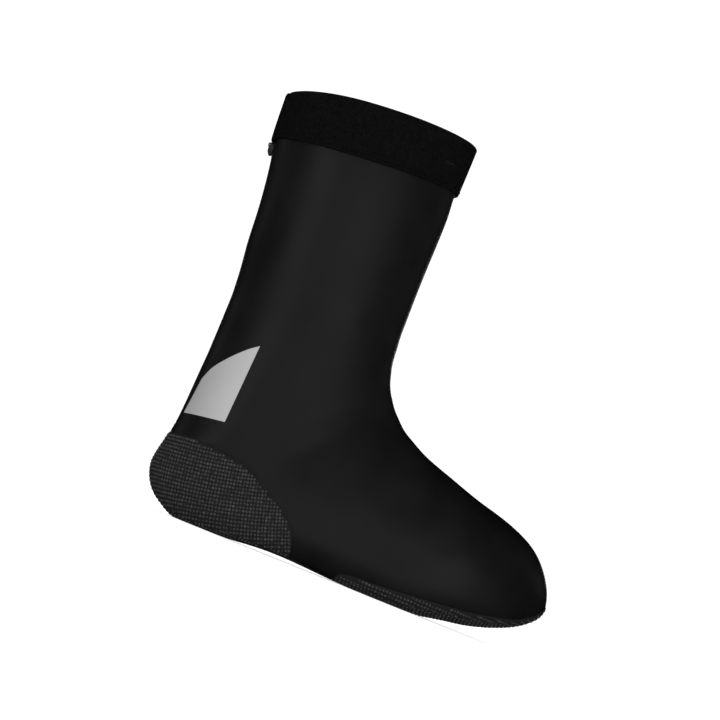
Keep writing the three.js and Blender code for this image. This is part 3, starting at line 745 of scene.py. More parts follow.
def slab(outer, inner):
    """Points and faces of a closed plate between two grids: both grids and a strip along their edge."""
    rows, columns = outer.shape[:2]
    count = rows * columns
    index = np.arange(count).reshape(rows, columns)
    top = quads(rows, columns)
    loop = np.concatenate([index[0, :-1], index[:-1, -1], index[-1, :0:-1], index[:0:-1, 0]])
    after = np.roll(loop, -1)
    sides = np.stack([after, loop, loop + count, after + count], axis=1)
    points = np.concatenate([outer.reshape(-1, 3), inner.reshape(-1, 3)])
    return points, np.concatenate([top, sides, top[:, ::-1] + count])


def combined(parts):
    """Several lists of points and faces as one."""
    starts = np.cumsum([0] + [len(points) for points, _ in parts])[:-1]
    faces = [faces + start for (_, faces), start in zip(parts, starts)]
    return np.concatenate([points for points, _ in parts]), np.concatenate(faces)


def lengths_along(path):
    """How far each point of a path is from its start."""
    return np.concatenate([[0], np.cumsum(np.linalg.norm(np.diff(path, axis=0), axis=1))])


def evenly(path, values, at):
    """Values given at a path's points, read at other distances along it."""
    along = lengths_along(path)
    return np.stack([np.interp(at, along, column) for column in np.asarray(values).T], axis=1)


def copies(points, faces):
    """Many grids of points with the same faces, one after the other along the first axis, as one."""
    starts = np.arange(len(points)) * points.shape[1] * points.shape[2]
    return points.reshape(-1, 3), (faces[None] + starts[:, None, None]).reshape(-1, 4)


def oval(corners, across, up, power=1.0):
    """Corners of an oval with two half widths, squarer with a power under 1."""
    turn = np.arange(corners) * 2 * math.pi / corners
    return signed_power(np.stack([np.cos(turn), np.sin(turn)], axis=1), power) * [across, up]


def capsules(centres, along, up, length, radius, rounds=6, steps=5):
    """Many short rods with round ends.

    A circle's radius is the root of 1 less the fourth power of its way from the middle to the end.
    """
    along, up = unit(along), unit(up)
    across = np.cross(up, along)
    s = np.sin(np.linspace(-0.5, 0.5, steps + 1) * math.pi)
    turn = np.arange(rounds) * 2 * math.pi / rounds
    swell = np.sqrt(np.clip(1 - s**4, 0, 1))
    side, top = np.cos(turn)[None, :, None], np.sin(turn)[None, :, None]
    ring = side * across[:, None, None] + top * up[:, None, None]
    points = (
        centres[:, None, None]
        + along[:, None, None] * (s * length / 2)[None, :, None, None]
        + ring * (swell * radius)[None, :, None, None]
    )
    return copies(points, quads(steps + 1, rounds, closed=True)[:, ::-1])


# Stitches of each seam in millimetres: from one to the next, the length of one and half its thickness.
# A path is given by so many points round the band, up a short side, up the zip and across its foot.
SEAMS = {"hem": (3.2, 2.3, 0.28), "band": (2.6, 1.9, 0.2), "zip": (2.8, 2.1, 0.2)}
PATH_POINTS = {"band": 400, "end": 40, "tack": 30, "zip": 200, "foot": 24}
# How far stitches lie over the fabric that they are sewn on, and the step that gives their direction.
STITCH_LIFT = 0.02 * MM
STITCH_STEP = 0.1 * MM


def stitched(path, up, seam):
    """A row of a seam's stitches along a path, as many as fit."""
    pitch, length, radius = (value * MM for value in SEAMS[seam])
    total = lengths_along(path)[-1]
    count = max(2, int(round(total / pitch)))
    at = (np.arange(count) + 0.5) * total / count
    ahead = evenly(path, path, at + STITCH_STEP) - evenly(path, path, at - STITCH_STEP)
    return capsules(evenly(path, path, at), ahead, evenly(path, up, at), length, radius)


def seam_row(form, place, angle, offset, seam):
    """A row of a seam's stitches on the form, along places and angles, on a fabric at an offset."""
    return stitched(form.surface(place, angle, offset + STITCH_LIFT), form.normals(place, angle), seam)


def tube(path, across, up, section):
    """A section (across, up) carried along a path, with its ends closed by their middles."""
    rings = path[:, None] + section[None, :, :1] * across[:, None] + section[None, :, 1:] * up[:, None]
    ends = rings.mean(axis=1, keepdims=True)[[0, -1]] * np.ones((1, len(section), 1))
    grid = np.concatenate([ends[:1], rings, ends[1:]])
    return grid.reshape(-1, 3), quads(len(grid), len(section), closed=True)


class Value:
    """A socket's value: operators between it and numbers or other values add Math nodes."""

    def __init__(self, tree, socket):
        self.tree = tree
        self.socket = socket

    def math(self, operation, *others, clamp=False):
        """A Math node on this value and the others."""
        node = self.tree.nodes.new("ShaderNodeMath")
        node.operation = operation
        node.use_clamp = clamp
        for socket, value in zip(node.inputs, (self, *others)):
            plug(self.tree, socket, value)
        return Value(self.tree, node.outputs[0])

    def __add__(self, other):
        return self.math("ADD", other)

    def __mul__(self, other):
        return self.math("MULTIPLY", other)

    __radd__ = __add__
    __rmul__ = __mul__


def plug(tree, socket, value):
    """Links a value to a socket or sets a plain one on it."""
    if isinstance(value, Value):
        tree.links.new(value.socket, socket)
    else:
        socket.default_value = value


class Finish:
    """A material under construction round one Principled shader."""

    def __init__(self, name, roughness, specular=0.5, **plain):
        self.material = bpy.data.materials.new(name)
        self.material.use_nodes = True
        self.tree = self.material.node_tree
        self.shader = self.tree.nodes["Principled BSDF"]
        self.set("Roughness", roughness)
        self.set("Specular IOR Level", specular)
        for key, value in plain.items():
            self.set(key.replace("_", " ").title(), value)

    def set(self, socket, value):
        """Sets or links one of the shader's sockets."""
        plug(self.tree, self.shader.inputs[socket], value)

    def node(self, kind, settings=None, values=None, out=0):
        """One output of a new node, whose settings are set before its sockets."""
        node = self.tree.nodes.new(kind)
        for key, value in (settings or {}).items():
            setattr(node, key, value)
        for key, value in (values or {}).items():
            plug(self.tree, node.inputs[key], value)
        return Value(self.tree, node.outputs[out])

    def cloth(self, axis):
        """One of the fabric's own coordinates, in metres."""
        uv = self.node("ShaderNodeUVMap", {"uv_map": "cloth"})
        return self.node("ShaderNodeSeparateXYZ", values={0: uv}, out=axis)

    def texture(self, kind, spacing, **values):
        """A texture on Object coordinates, its features about a spacing in metres apart."""
        place = self.node("ShaderNodeTexCoord", out="Object")
        return self.node(kind, values={"Vector": place, "Scale": 1 / spacing, **values})

    def noise(self, spacing, detail=2.0, roughness=0.5):
        """Soft noise between 0 and 1."""
        return self.texture("ShaderNodeTexNoise", spacing, Detail=detail, Roughness=roughness)

    def cells(self, spacing):
        """Distance to the nearest of scattered points, 0 to about 1."""
        return self.texture("ShaderNodeTexVoronoi", spacing)

    def between(self, value, low, high, to_low=0.0, to_high=1.0):
        """A value's range mapped smoothly onto another."""
        keys = ("Value", "From Min", "From Max", "To Min", "To Max")
        values = dict(zip(keys, (value, low, high, to_low, to_high)))
        return self.node("ShaderNodeMapRange", {"interpolation_type": "SMOOTHSTEP"}, values)

    def mix(self, factor, first, second):
        """A colour between two."""
        values = {0: factor}
        for key, tone in ((6, first), (7, second)):
            values[key] = tone if isinstance(tone, Value) else (*tone, 1.0)
        return self.node("ShaderNodeMix", {"data_type": "RGBA"}, values, out=2)

    def bump(self, height, depth, under=None):
        """Bends the normal by a height between 0 and 1 that stands for a depth in metres."""
        values = {"Height": height, "Distance": depth, "Strength": 1.0}
        if under is not None:
            values["Normal"] = under
        return self.node("ShaderNodeBump", values=values)


def shade(tone, factor):
    """A colour made lighter or darker."""
    return tuple(min(1.0, part * factor) for part in tone)


def material(make):
    """The material that a function makes, made the first time."""
    return bpy.data.materials.get(make.__name__) or make(make.__name__)


def tones():
    """The scene's colours."""
    return bpy.context.scene.overshoe_finishes


def patterned(finish, tone, spread, pattern, depth):
    """A finish darker and lighter by a spread along a pattern, which also bends its normal."""
    finish.set("Base Color", finish.mix(pattern, *(shade(tone, factor) for factor in spread)))
    finish.set("Normal", finish.bump(pattern, depth))
    return finish.material


def satin_cloth(name):
    """Smooth stretch fabric: a satin coat over a very fine knit, hardly uneven."""
    tone = tones().coated
    fabric = Finish(name, 0.5, specular=0.32)
    cloud = fabric.noise(0.035, 3)
    grain = fabric.noise(0.00055, 2, 0.6)
    patch = fabric.between(cloud + grain * 0.25, 0.35, 0.85)
    fabric.set("Base Color", fabric.mix(patch, shade(tone, 0.82), shade(tone, 1.22)))
    fabric.set("Roughness", fabric.between(cloud, 0.3, 0.7, 0.42, 0.49))
    soft = fabric.bump(fabric.noise(0.006, 2), 0.00004)
    fabric.set("Normal", fabric.bump(grain, 0.00002, soft))
    return fabric.material


def brushed_lining(name):
    """Brushed inner face with short nap."""
    fabric = Finish(name, 0.95, specular=0.15)
    return patterned(fabric, tones().lining, (0.6, 1.5), fabric.noise(0.0011, 4, 0.7), 0.0003)


def mesh_ground(name):
    """Dark woven ground between the dots of the mesh panels."""
    fabric = Finish(name, 0.8, specular=0.25)
    return patterned(fabric, tones().mesh_ground, (0.7, 1.4), fabric.noise(0.0006, 3, 0.6), 0.0001)


def printed_dots(name):
    """Raised dots of hard-wearing rubbery print, a little unlike one another."""
    tone = tones().mesh_dot
    print_ = Finish(name, 0.6, specular=0.35)
    spread = print_.between(print_.noise(0.0028, 2, 0.7), 0.3, 0.7)
    print_.set("Base Color", print_.mix(spread, shade(tone, 0.5), shade(tone, 1.5)))
    print_.set("Normal", print_.bump(print_.noise(0.0004, 2), 0.00004))
    return print_.material


def band_knit(name):
    """Matte knit: fine upright ribs under a short, mottled pile."""
    tone = tones().knit
    fabric = Finish(name, 0.97, specular=0.12)
    ribs = fabric.cloth("X").math("MULTIPLY", 2 * math.pi / 0.0011).math("SINE") * 0.5 + 0.5
    pile = fabric.noise(0.0009, 3, 0.7)
    mottle = fabric.noise(0.0024, 2, 0.6)
    speck = fabric.between(mottle * 0.35 + pile * 0.65, 0.25, 0.75)
    fabric.set("Base Color", fabric.mix(speck, shade(tone, 0.2), shade(tone, 1.8)))
    fabric.set("Normal", fabric.bump(pile * 0.7 + ribs * 0.3, 0.00022))
    return fabric.material


def bead_film(name):
    """Grey film of tiny glass beads, with a painted highlight that grows lighter towards the toe; its
    rounded cut edge also looks lighter.
    """
    tone = tones().film
    film = Finish(name, 0.48, specular=0.4)
    beads = film.cells(0.00035)
    # painted highlight: the film's colour grows lighter along the cloth's X towards the toe, standing in for
    # how the lamps fall on it, with a little noise
    cloud = film.between(film.cloth("X") + film.noise(0.02, 2) * 0.2, 0, 1.2)
    pale = film.mix(cloud, shade(tone, 0.84), shade(tone, 1.28))
    film.set("Base Color", film.mix(beads * 0.25, pale, shade(tone, 0.7)))
    film.set("Roughness", film.between(beads, 0, 0.8, 0.4, 0.6))
    film.set("Normal", film.bump(beads, 0.00001))
    return film.material


def tape_weave(name):
    """Water-resistant zip tape: a matte coat over a herringbone weave."""
    tape = Finish(name, 0.62, specular=0.3)
    wale = (tape.cloth("Y") + tape.cloth("X").math("PINGPONG", 0.002)) * (2 * math.pi / 0.0009)
    return patterned(tape, tones().tape, (0.8, 1.25), wale.math("SINE") * 0.5 + 0.5, 0.00004)


def sewing_thread(name):
    """Twisted polyester thread of the hem and the zip."""
    yarn = Finish(name, 0.7, specular=0.35)
    return patterned(yarn, tones().thread, (0.6, 1.6), yarn.noise(0.0004, 2), 0.00005)


def band_thread(name):
    """Matte black thread that hardly shows on the band."""
    yarn = Finish(name, 0.9, specular=0.1)
    return patterned(yarn, tones().knit, (0.5, 1.5), yarn.noise(0.0004, 2), 0.00005)


def pale_thread(name):
    """Thread of the bar tack, lighter than the band."""
    yarn = Finish(name, 0.6, specular=0.4)
    return patterned(yarn, tones().light_thread, (0.6, 1.4), yarn.noise(0.0005, 2), 0.00005)


def coil_nylon(name):
    """Black nylon of the zip's coil."""
    nylon = Finish(name, 0.35, specular=0.5)
    haze = nylon.noise(0.002, 2)
    nylon.set("Base Color", nylon.mix(haze, (0.006, 0.006, 0.006), (0.012, 0.012, 0.013)))
    nylon.set("Roughness", nylon.between(haze, 0.3, 0.7, 0.3, 0.45))
    return nylon.material


def lacquered_metal(name):
    """Dark lacquered metal, rubbed a little brighter in places."""
    tone = tones().metal
    metal = Finish(name, 0.42, specular=0.5, metallic=0.55)
    rub = metal.between(metal.noise(0.0016, 4, 0.65), 0.45, 0.75)
    metal.set("Base Color", metal.mix(rub, tone, shade(tone, 2.2)))
    metal.set("Roughness", metal.between(rub, 0, 1, 0.38, 0.5))
    metal.set("Normal", metal.bump(metal.noise(0.0005, 2), 0.00001))
    return metal.material


class Overshoe:
    """The form with the sizes that the pieces share, read from the scene's properties."""

    # the underside as a share of the instep height, and the rear as a share of the length
    UNDERSIDE = 0.25
    REAR = 0.15
    # what keeps the opening's slope over 0 in its middle
    LEAST_SLOPE = 1e-3
    # corners of a smoothed edge for each that is given
    EDGE_CORNERS = 12

    def __init__(self):
        scene = bpy.context.scene
        self.sizes = scene.overshoe_form
        self.trim = scene.overshoe_trim
        self.zip = scene.overshoe_zip
        toe_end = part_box("toe_panel")[1].x
        shift = toe_end - self.sizes.length - self.trim.panel_step
        self.form = Form(self.sizes, self.trim.cuff_height, shift)
        self.scale = np.array([self.sizes.length, self.sizes.instep_height])
        self.heel_line = spline(np.array(HEEL_EDGE) * self.scale, self.EDGE_CORNERS)
        self.toe_line = spline(np.array(TOE_EDGE) * self.scale, self.EDGE_CORNERS)
        self.zip_foot = HEEL_EDGE[1][1] * self.sizes.instep_height + self.zip.above_panel
        self.slot_top = self.form.seam + self.trim.cuff_overlap + 2 * self.sizes.gap

    def heel(self, points):
        """How far points are inside the heel panel's edge, seen from the side."""
        return -beside_line(points[:, [0, 2]], self.heel_line)[0]

    def toe(self, points):
        """How far points are inside the toe panel's edge, seen from the side."""
        return -beside_line(points[:, [0, 2]], self.toe_line)[0]

    def opening_middle(self):
        """Middle and half sizes of the opening under the foot."""
        trim = self.trim
        middle = (trim.opening_from_heel + self.sizes.length - trim.opening_from_toe) / 2
        return middle, middle - trim.opening_from_heel, self.sizes.heel_width / 2 - trim.sole_wrap

    def outside_opening(self, points, margin):
        """How far points of the underside are outside the opening grown by a margin.

        It is what the oval's own sum exceeds 1 by, over the slope of that sum.
        """
        middle, reach, half = self.opening_middle()
        reach, half = reach + margin, half + margin
        along, across = OPENING_SQUARENESS
        x, y = np.abs(points[:, 0] - middle) / reach, np.abs(points[:, 1]) / half
        excess = x**along + y**across - 1
        slope = np.hypot(along * x ** (along - 1) / reach, across * y ** (across - 1) / half)
        over = excess / np.maximum(slope, self.LEAST_SLOPE)
        return np.where(points[:, 2] > self.UNDERSIDE * self.sizes.instep_height, reach, over)

    def outside_zip(self, points, margin):
        """How far points are outside the slot for the zip."""
        aside = np.abs(points[:, 1]) - self.zip.tape_width - margin
        below = self.zip_foot - margin - points[:, 2]
        at_front = points[:, 0] > self.REAR * self.sizes.length
        return np.where(at_front, self.sizes.length, np.maximum(aside, below))

    def band_reach(self):
        """How far the band reaches from the middle plane."""
        return self.sizes.collar_width / 2 + self.trim.cuff_proud

    def angle_across(self, distance):
        """The angle at which the band is a distance from the middle plane."""
        return np.arcsin(distance / self.band_reach())


# How far the upper sinks under the mesh panels, and over how much way it does so.
UPPER_SINK = 0.5 * MM
UPPER_BLEND = 1.6 * MM


class OVERSHOE_OT_upper(bpy.types.Operator):
    """Coated upper: shaft and foot in one hollow wall"""

    bl_idname = "overshoe.upper"
    bl_label = "Upper"

    def execute(self, context):
        shoe = Overshoe()
        trim, gap = shoe.trim, shoe.sizes.gap
        top = float(shoe.form.place_at(trim.cuff_overlap))
        cloth = Cloth(shoe.form, top)
        cloth.trim(lambda points: trim.lap - shoe.heel(points))
        cloth.trim(lambda points: trim.lap - shoe.toe(points))
        cloth.trim(lambda points: shoe.outside_opening(points, trim.binding_width + gap))
        cloth.trim(lambda points: shoe.outside_zip(points, gap))
        plain = cloth.plain()
        covered = smooth((np.maximum(shoe.heel(plain), shoe.toe(plain)) + gap) / UPPER_BLEND)
        sunk = -UPPER_SINK * covered
        floor = (trim.dot_height + trim.panel_step) * covered
        piece = walled(cloth, "upper_fabric", sunk, sunk - shoe.sizes.wall, floor)
        dress(piece, [material(satin_cloth), material(brushed_lining)], ["upper"])
        return {"FINISHED"}


# Sections on which the foot's outline is found, and the corners that it is given.
OUTLINE_SECTIONS = 500
OUTLINE_CORNERS = 301


def side_outline(form, height):
    """The form's outline at a height, from the toe along the outer side, round the heel and back.

    Along each section the angle at that height is found by halving. With the outline come its length and
    the way to its rear.
    """
    place = np.linspace(form.first_foot_row, form.toe - 0.2, OUTLINE_SECTIONS)
    place = place[form.sections(place)["low_z"] < height]
    low, high = np.zeros(len(place)), np.full(len(place), math.pi)
    for _ in range(HALVINGS):
        middle = (low + high) / 2
        under = form.points(place, middle)[:, 2] < height
        low, high = np.where(under, middle, low), np.where(under, high, middle)
    inner = form.points(place, low)[:, :2]
    outer = form.points(place, -low)[::-1, :2]
    path = np.concatenate([outer, inner])
    total = lengths_along(path)[-1]
    return evenly(path, path, np.linspace(0, total, OUTLINE_CORNERS)), total, lengths_along(outer)[-1]


def lattice(grid, triangles):
    """Where whole numbers of a plane pattern fall on triangles: the triangle and three weights of each."""
    corner = grid[triangles]
    low = np.ceil(corner.min(axis=1)).astype(int)
    high = np.floor(corner.max(axis=1)).astype(int)
    reach = np.maximum(high - low, 0).max(axis=0) + 1
    found = []
    for i in range(reach[0]):
        for j in range(reach[1]):
            knot = low + np.array([i, j])
            a, b, c = corner[:, 0], corner[:, 1], corner[:, 2]
            area = spanned(b - a, c - a)
            sound = (knot <= high).all(axis=1) & (np.abs(area) > TINY)
            area = np.where(sound, area, 1)
            second = spanned(knot - a, c - a) / area
            third = spanned(b - a, knot - a) / area
            first = 1 - second - third
            weights = np.stack([first, second, third], axis=1)
            inside = sound & (weights >= 0).all(axis=1)
            found.append((np.nonzero(inside)[0], weights[inside]))
    return np.concatenate([item[0] for item in found]), np.concatenate([item[1] for item in found])


# Rings of a dot, from its closed foot to its closed top: shares of its half width and of its height.
DOT_RINGS = ((0, -0.3), (1.0, -0.3), (0.88, 0.55), (0.5, 0.93), (0, 1))
DOT_SQUARENESS = 0.75
DOT_CREASE = 70


def domes(centres, along, up, half, height, rounds=8):
    """Many flat-topped, squarish drops."""
    along, up = unit(along), unit(up)
    across = np.cross(up, along)
    turn = (np.arange(rounds) + 0.5) * 2 * math.pi / rounds
    corner = signed_power(np.stack([np.cos(turn), np.sin(turn)]), DOT_SQUARENESS)
    ring = corner[0][None, :, None] * along[:, None] + corner[1][None, :, None] * across[:, None]
    points = np.stack(
        [centres[:, None] + ring * half[:, None, None] * wide + up[:, None] * height[:, None, None] * high
         for wide, high in DOT_RINGS], axis=1,
    )
    return copies(points, quads(len(DOT_RINGS), rounds, closed=True))


# The dots differ a little: by shares of their width and height, and in place.
DOT_SEED = 7
DOT_SPREAD = {"width": 0.14, "height": 0.15, "place": 0.13 * MM}
# How far inside the panel's edge a dot's middle has to be, as a share of its width.
DOT_MARGIN = 0.6
# How the heel's rows of dots bend towards the toe.
HEEL_BEND = 1.65
# Height of the outline that the dots are spaced along, as a share of the instep height.
OUTLINE_HEIGHT = 0.2
# A panel that looks down by more than this has the underside's pattern.
UNDERFOOT = -0.8
# The panel's height over the floor and that of its dots' feet, as shares of a dot's height.
PANEL_LIFT = 0.9
DOT_LIFT = 1.05 * PANEL_LIFT
# Over the upper a panel is thin, from a way inside the lap and over another one.
PANEL_THIN = 0.1 * MM
THIN_FROM = 2.5 * MM
THIN_BLEND = 1.5 * MM


def mesh_panel(shoe, name, inside, node, bend):
    """A mesh panel and its dots.

    The dots' pattern has u along the side's outline and v up, both in dots. Bent, it is u + 2 bend u v and
    v - bend u squared, so that its rows rise towards the toe. Under the foot it is square with the shoe.
    """
    trim = shoe.trim
    form = shoe.form
    floor = trim.dot_height * PANEL_LIFT
    cloth = Cloth(form)
    cloth.trim(inside)
    cloth.trim(lambda points: shoe.outside_opening(points, trim.binding_width + shoe.sizes.gap))
    plain = cloth.plain()
    over_upper = smooth((trim.lap + THIN_FROM - inside(plain)) / THIN_BLEND)
    inner = -shoe.sizes.wall * (1 - over_upper) - PANEL_THIN * over_upper
    piece = walled(cloth, name, trim.panel_step, inner, floor)
    dress(piece, [material(mesh_ground), material(brushed_lining)], [node])
    outside = form.surface(cloth.place, cloth.angle, trim.panel_step, floor)
    normals = form.normals(cloth.place, cloth.angle)
    line, total, rear = side_outline(form, OUTLINE_HEIGHT * shoe.sizes.instep_height)
    u = beside_line(plain[:, :2], line)[1] * total - rear
    v = plain[:, 2]
    side_grid = np.stack([u + 2 * bend * u * v, v - bend * u**2], axis=1) / trim.dot_pitch
    flat_grid = plain[:, :2] / trim.dot_pitch
    triangles = np.concatenate([cloth.faces[:, [0, 1, 2]], cloth.faces[:, [0, 2, 3]]])
    lying = normals[triangles].mean(axis=1)[:, 2] < UNDERFOOT
    spread = np.random.default_rng(DOT_SEED)
    parts = []
    for grid, chosen in ((side_grid, triangles[~lying]), (flat_grid, triangles[lying])):
        at, weights = lattice(grid, chosen)
        corners = chosen[at]
        centres = (outside[corners] * weights[..., None]).sum(axis=1)
        up = unit((normals[corners] * weights[..., None]).sum(axis=1))
        home = (plain[corners] * weights[..., None]).sum(axis=1)
        edge = np.minimum(inside(home), shoe.outside_opening(home, trim.binding_width + shoe.sizes.gap))
        kept = edge > trim.dot_width * DOT_MARGIN
        away = plain[corners[:, 1]] - plain[corners[:, 0]]
        span = grid[corners[:, 1]] - grid[corners[:, 0]]
        turn = np.arctan2(span[:, 1], span[:, 0])[:, None]
        aside = np.cross(up, unit(away))
        along = np.cos(turn) * unit(away) - np.sin(turn) * aside
        centres[:, 2] = np.maximum(centres[:, 2], trim.dot_height * DOT_LIFT)
        uneven = spread.uniform(-1, 1, (4, len(centres)))
        half = trim.dot_width / 2 * (1 + DOT_SPREAD["width"] * uneven[0])
        height = trim.dot_height * (1 - DOT_SPREAD["height"] * (1 - uneven[1]))
        stray = DOT_SPREAD["place"] * uneven[2:, :, None]
        centres += along * stray[0] + np.cross(up, along) * stray[1]
        parts.append(domes(centres[kept], along[kept], up[kept], half[kept], height[kept]))
    points, faces = combined(parts)
    points[:, 2] = np.maximum(points[:, 2], 0)
    dots = new_mesh(f"{name}_dots", points, faces, crease_angle=DOT_CREASE)
    dress(dots, [material(printed_dots)])


class OVERSHOE_OT_heel_panel(bpy.types.Operator):
    """Dotted mesh panel round the heel"""

    bl_idname = "overshoe.heel_panel"
    bl_label = "Heel panel"

    def execute(self, context):
        shoe = Overshoe()
        mesh_panel(shoe, "heel_mesh", shoe.heel, "heel_panel", HEEL_BEND)
        return {"FINISHED"}


class OVERSHOE_OT_toe_panel(bpy.types.Operator):
    """Dotted mesh panel under and along the toe"""

    bl_idname = "overshoe.toe_panel"
    bl_label = "Toe panel"

    def execute(self, context):
        shoe = Overshoe()
        mesh_panel(shoe, "toe_mesh", shoe.toe, "toe_panel", 0.0)
        return {"FINISHED"}


# Corners round the opening and round the hem's section, and the rings that carry its foot.
HEM_AROUND = 240
HEM_SECTION = 20
HEM_RINGS = 5
# The rings that its stitches follow.
HEM_STITCHED = (1, 3)
# How much thicker the hem is than the fabric, and its puckers: how many and how deep.
HEM_THICKER = 0.8 * MM
HEM_PUCKERS = 150
HEM_PUCKER = 0.06 * MM
# Powers that make its section square across and upwards, and the angles of the form that it lies between.
HEM_SQUARENESS = (0.45, 0.5)
HEM_ANGLES = (-1.2, 1.2)


class OVERSHOE_OT_binding(bpy.types.Operator):
    """Stitched hem round the opening under the foot"""

    bl_idname = "overshoe.binding"
    bl_label = "Hem round the opening"

    def execute(self, context):
        shoe = Overshoe()
        trim = shoe.trim
        middle, reach, half = shoe.opening_middle()
        turns = np.arange(HEM_AROUND) * 2 * math.pi / HEM_AROUND
        along, across = OPENING_SQUARENESS
        thick = shoe.sizes.wall + HEM_THICKER
        # across the hem and its height over its foot, round a rounded bar
        profile = np.linspace(0, 2 * math.pi, HEM_SECTION, endpoint=False)
        flat, tall = HEM_SQUARENESS
        over = (signed_power(np.cos(profile), flat) + 1) / 2 * trim.binding_width
        high = (signed_power(np.sin(profile), tall) + 1) / 2 * thick

        def ring(margin):
            """The oval grown by a margin, found on the form's underside, and its upward normals."""
            x = middle + (reach + margin) * signed_power(np.cos(turns), 2 / along)
            y = (half + margin) * signed_power(np.sin(turns), 2 / across)
            place, angle = shoe.form.find([0, 1], np.stack([x, y], axis=1), *HEM_ANGLES)
            return shoe.form.surface(place, angle), -shoe.form.normals(place, angle)

        edges = [ring(margin) for margin in np.linspace(0, trim.binding_width, HEM_RINGS)]
        feet = np.stack([points for points, _ in edges])
        ups = np.stack([up for _, up in edges])
        share = over / trim.binding_width * (HEM_RINGS - 1)
        low = np.clip(share.astype(int), 0, HEM_RINGS - 2)
        rest = (share - low)[:, None, None]
        base = feet[low] * (1 - rest) + feet[low + 1] * rest
        up = unit(ups[low] * (1 - rest) + ups[low + 1] * rest)
        pucker = HEM_PUCKER * np.sin(turns * HEM_PUCKERS) * (high > thick / 2)[:, None]
        points = base + up * (high[:, None] + pucker)[..., None]
        points[..., 2] = np.maximum(points[..., 2], 0.0)
        hem = new_mesh("sole_hem", points, quads(HEM_SECTION, HEM_AROUND, closed=True, looped=True))
        dress(hem, [material(mesh_ground)], ["sole_binding"])
        closed = np.append(np.arange(HEM_AROUND), 0)
        rows = []
        for step in HEM_STITCHED:
            path = feet[step][closed] + ups[step][closed] * thick
            rows.append(stitched(path, ups[step][closed], "hem"))
        stitches = new_mesh("hem_stitches", *combined(rows))
        dress(stitches, [material(sewing_thread)])
        return {"FINISHED"}


# Corners round the band, the way over which the recess for its closing end begins, and how far its
# face swells between the edges.
BAND_AROUND = 448
RECESS_EDGE = 0.8 * MM
BAND_SWELL = 0.25 * MM
# Corners up its face, over its fold and down its back, and the degrees over which its edges are sharp.
BAND_CORNERS = (14, 9, 6)
BAND_CREASE = 60
# How far round the collar an angle reaches, as a share of the collar's width.
BAND_TURN = 0.58
# The lower edge is rounded: how far in and how far up its corners lie.
BAND_EDGE = ((0.9 * MM, 0), (0.35 * MM, 0.2 * MM), (BAND_SWELL, 0.7 * MM))
# The closing end: how square its corners are, the net that it is made of, how thin its edge gets and over
# which share of it, how much lower than the band it ends and how far it stands off the recess.
TAB_SQUARENESS = 12
TAB_NET = (49, 41)
TAB_EDGE = 0.45 * MM
TAB_EDGE_SHARE = 0.08
TAB_LOWER = 0.4 * MM
TAB_OFF = 0.15 * MM
# Where the band's seams run: beside its closing end, over its foot and under its head.
SEAM_ASIDE = 2 * MM
SEAM_UP = 2.6 * MM
SEAM_ENDS = (1 * MM, 4 * MM)
# The bar tack: degrees from the front on the outer side, height over the seam, half its length, how far it
# lies over the band, and its stitches: how many, how long and half how thick.
TACK_TURN = 33
TACK_UP = 15 * MM
TACK_HALF = 3.4 * MM
TACK_LIFT = 0.05 * MM
TACK_STITCHES = 13
TACK_STITCH = (1.9 * MM, 0.3 * MM)


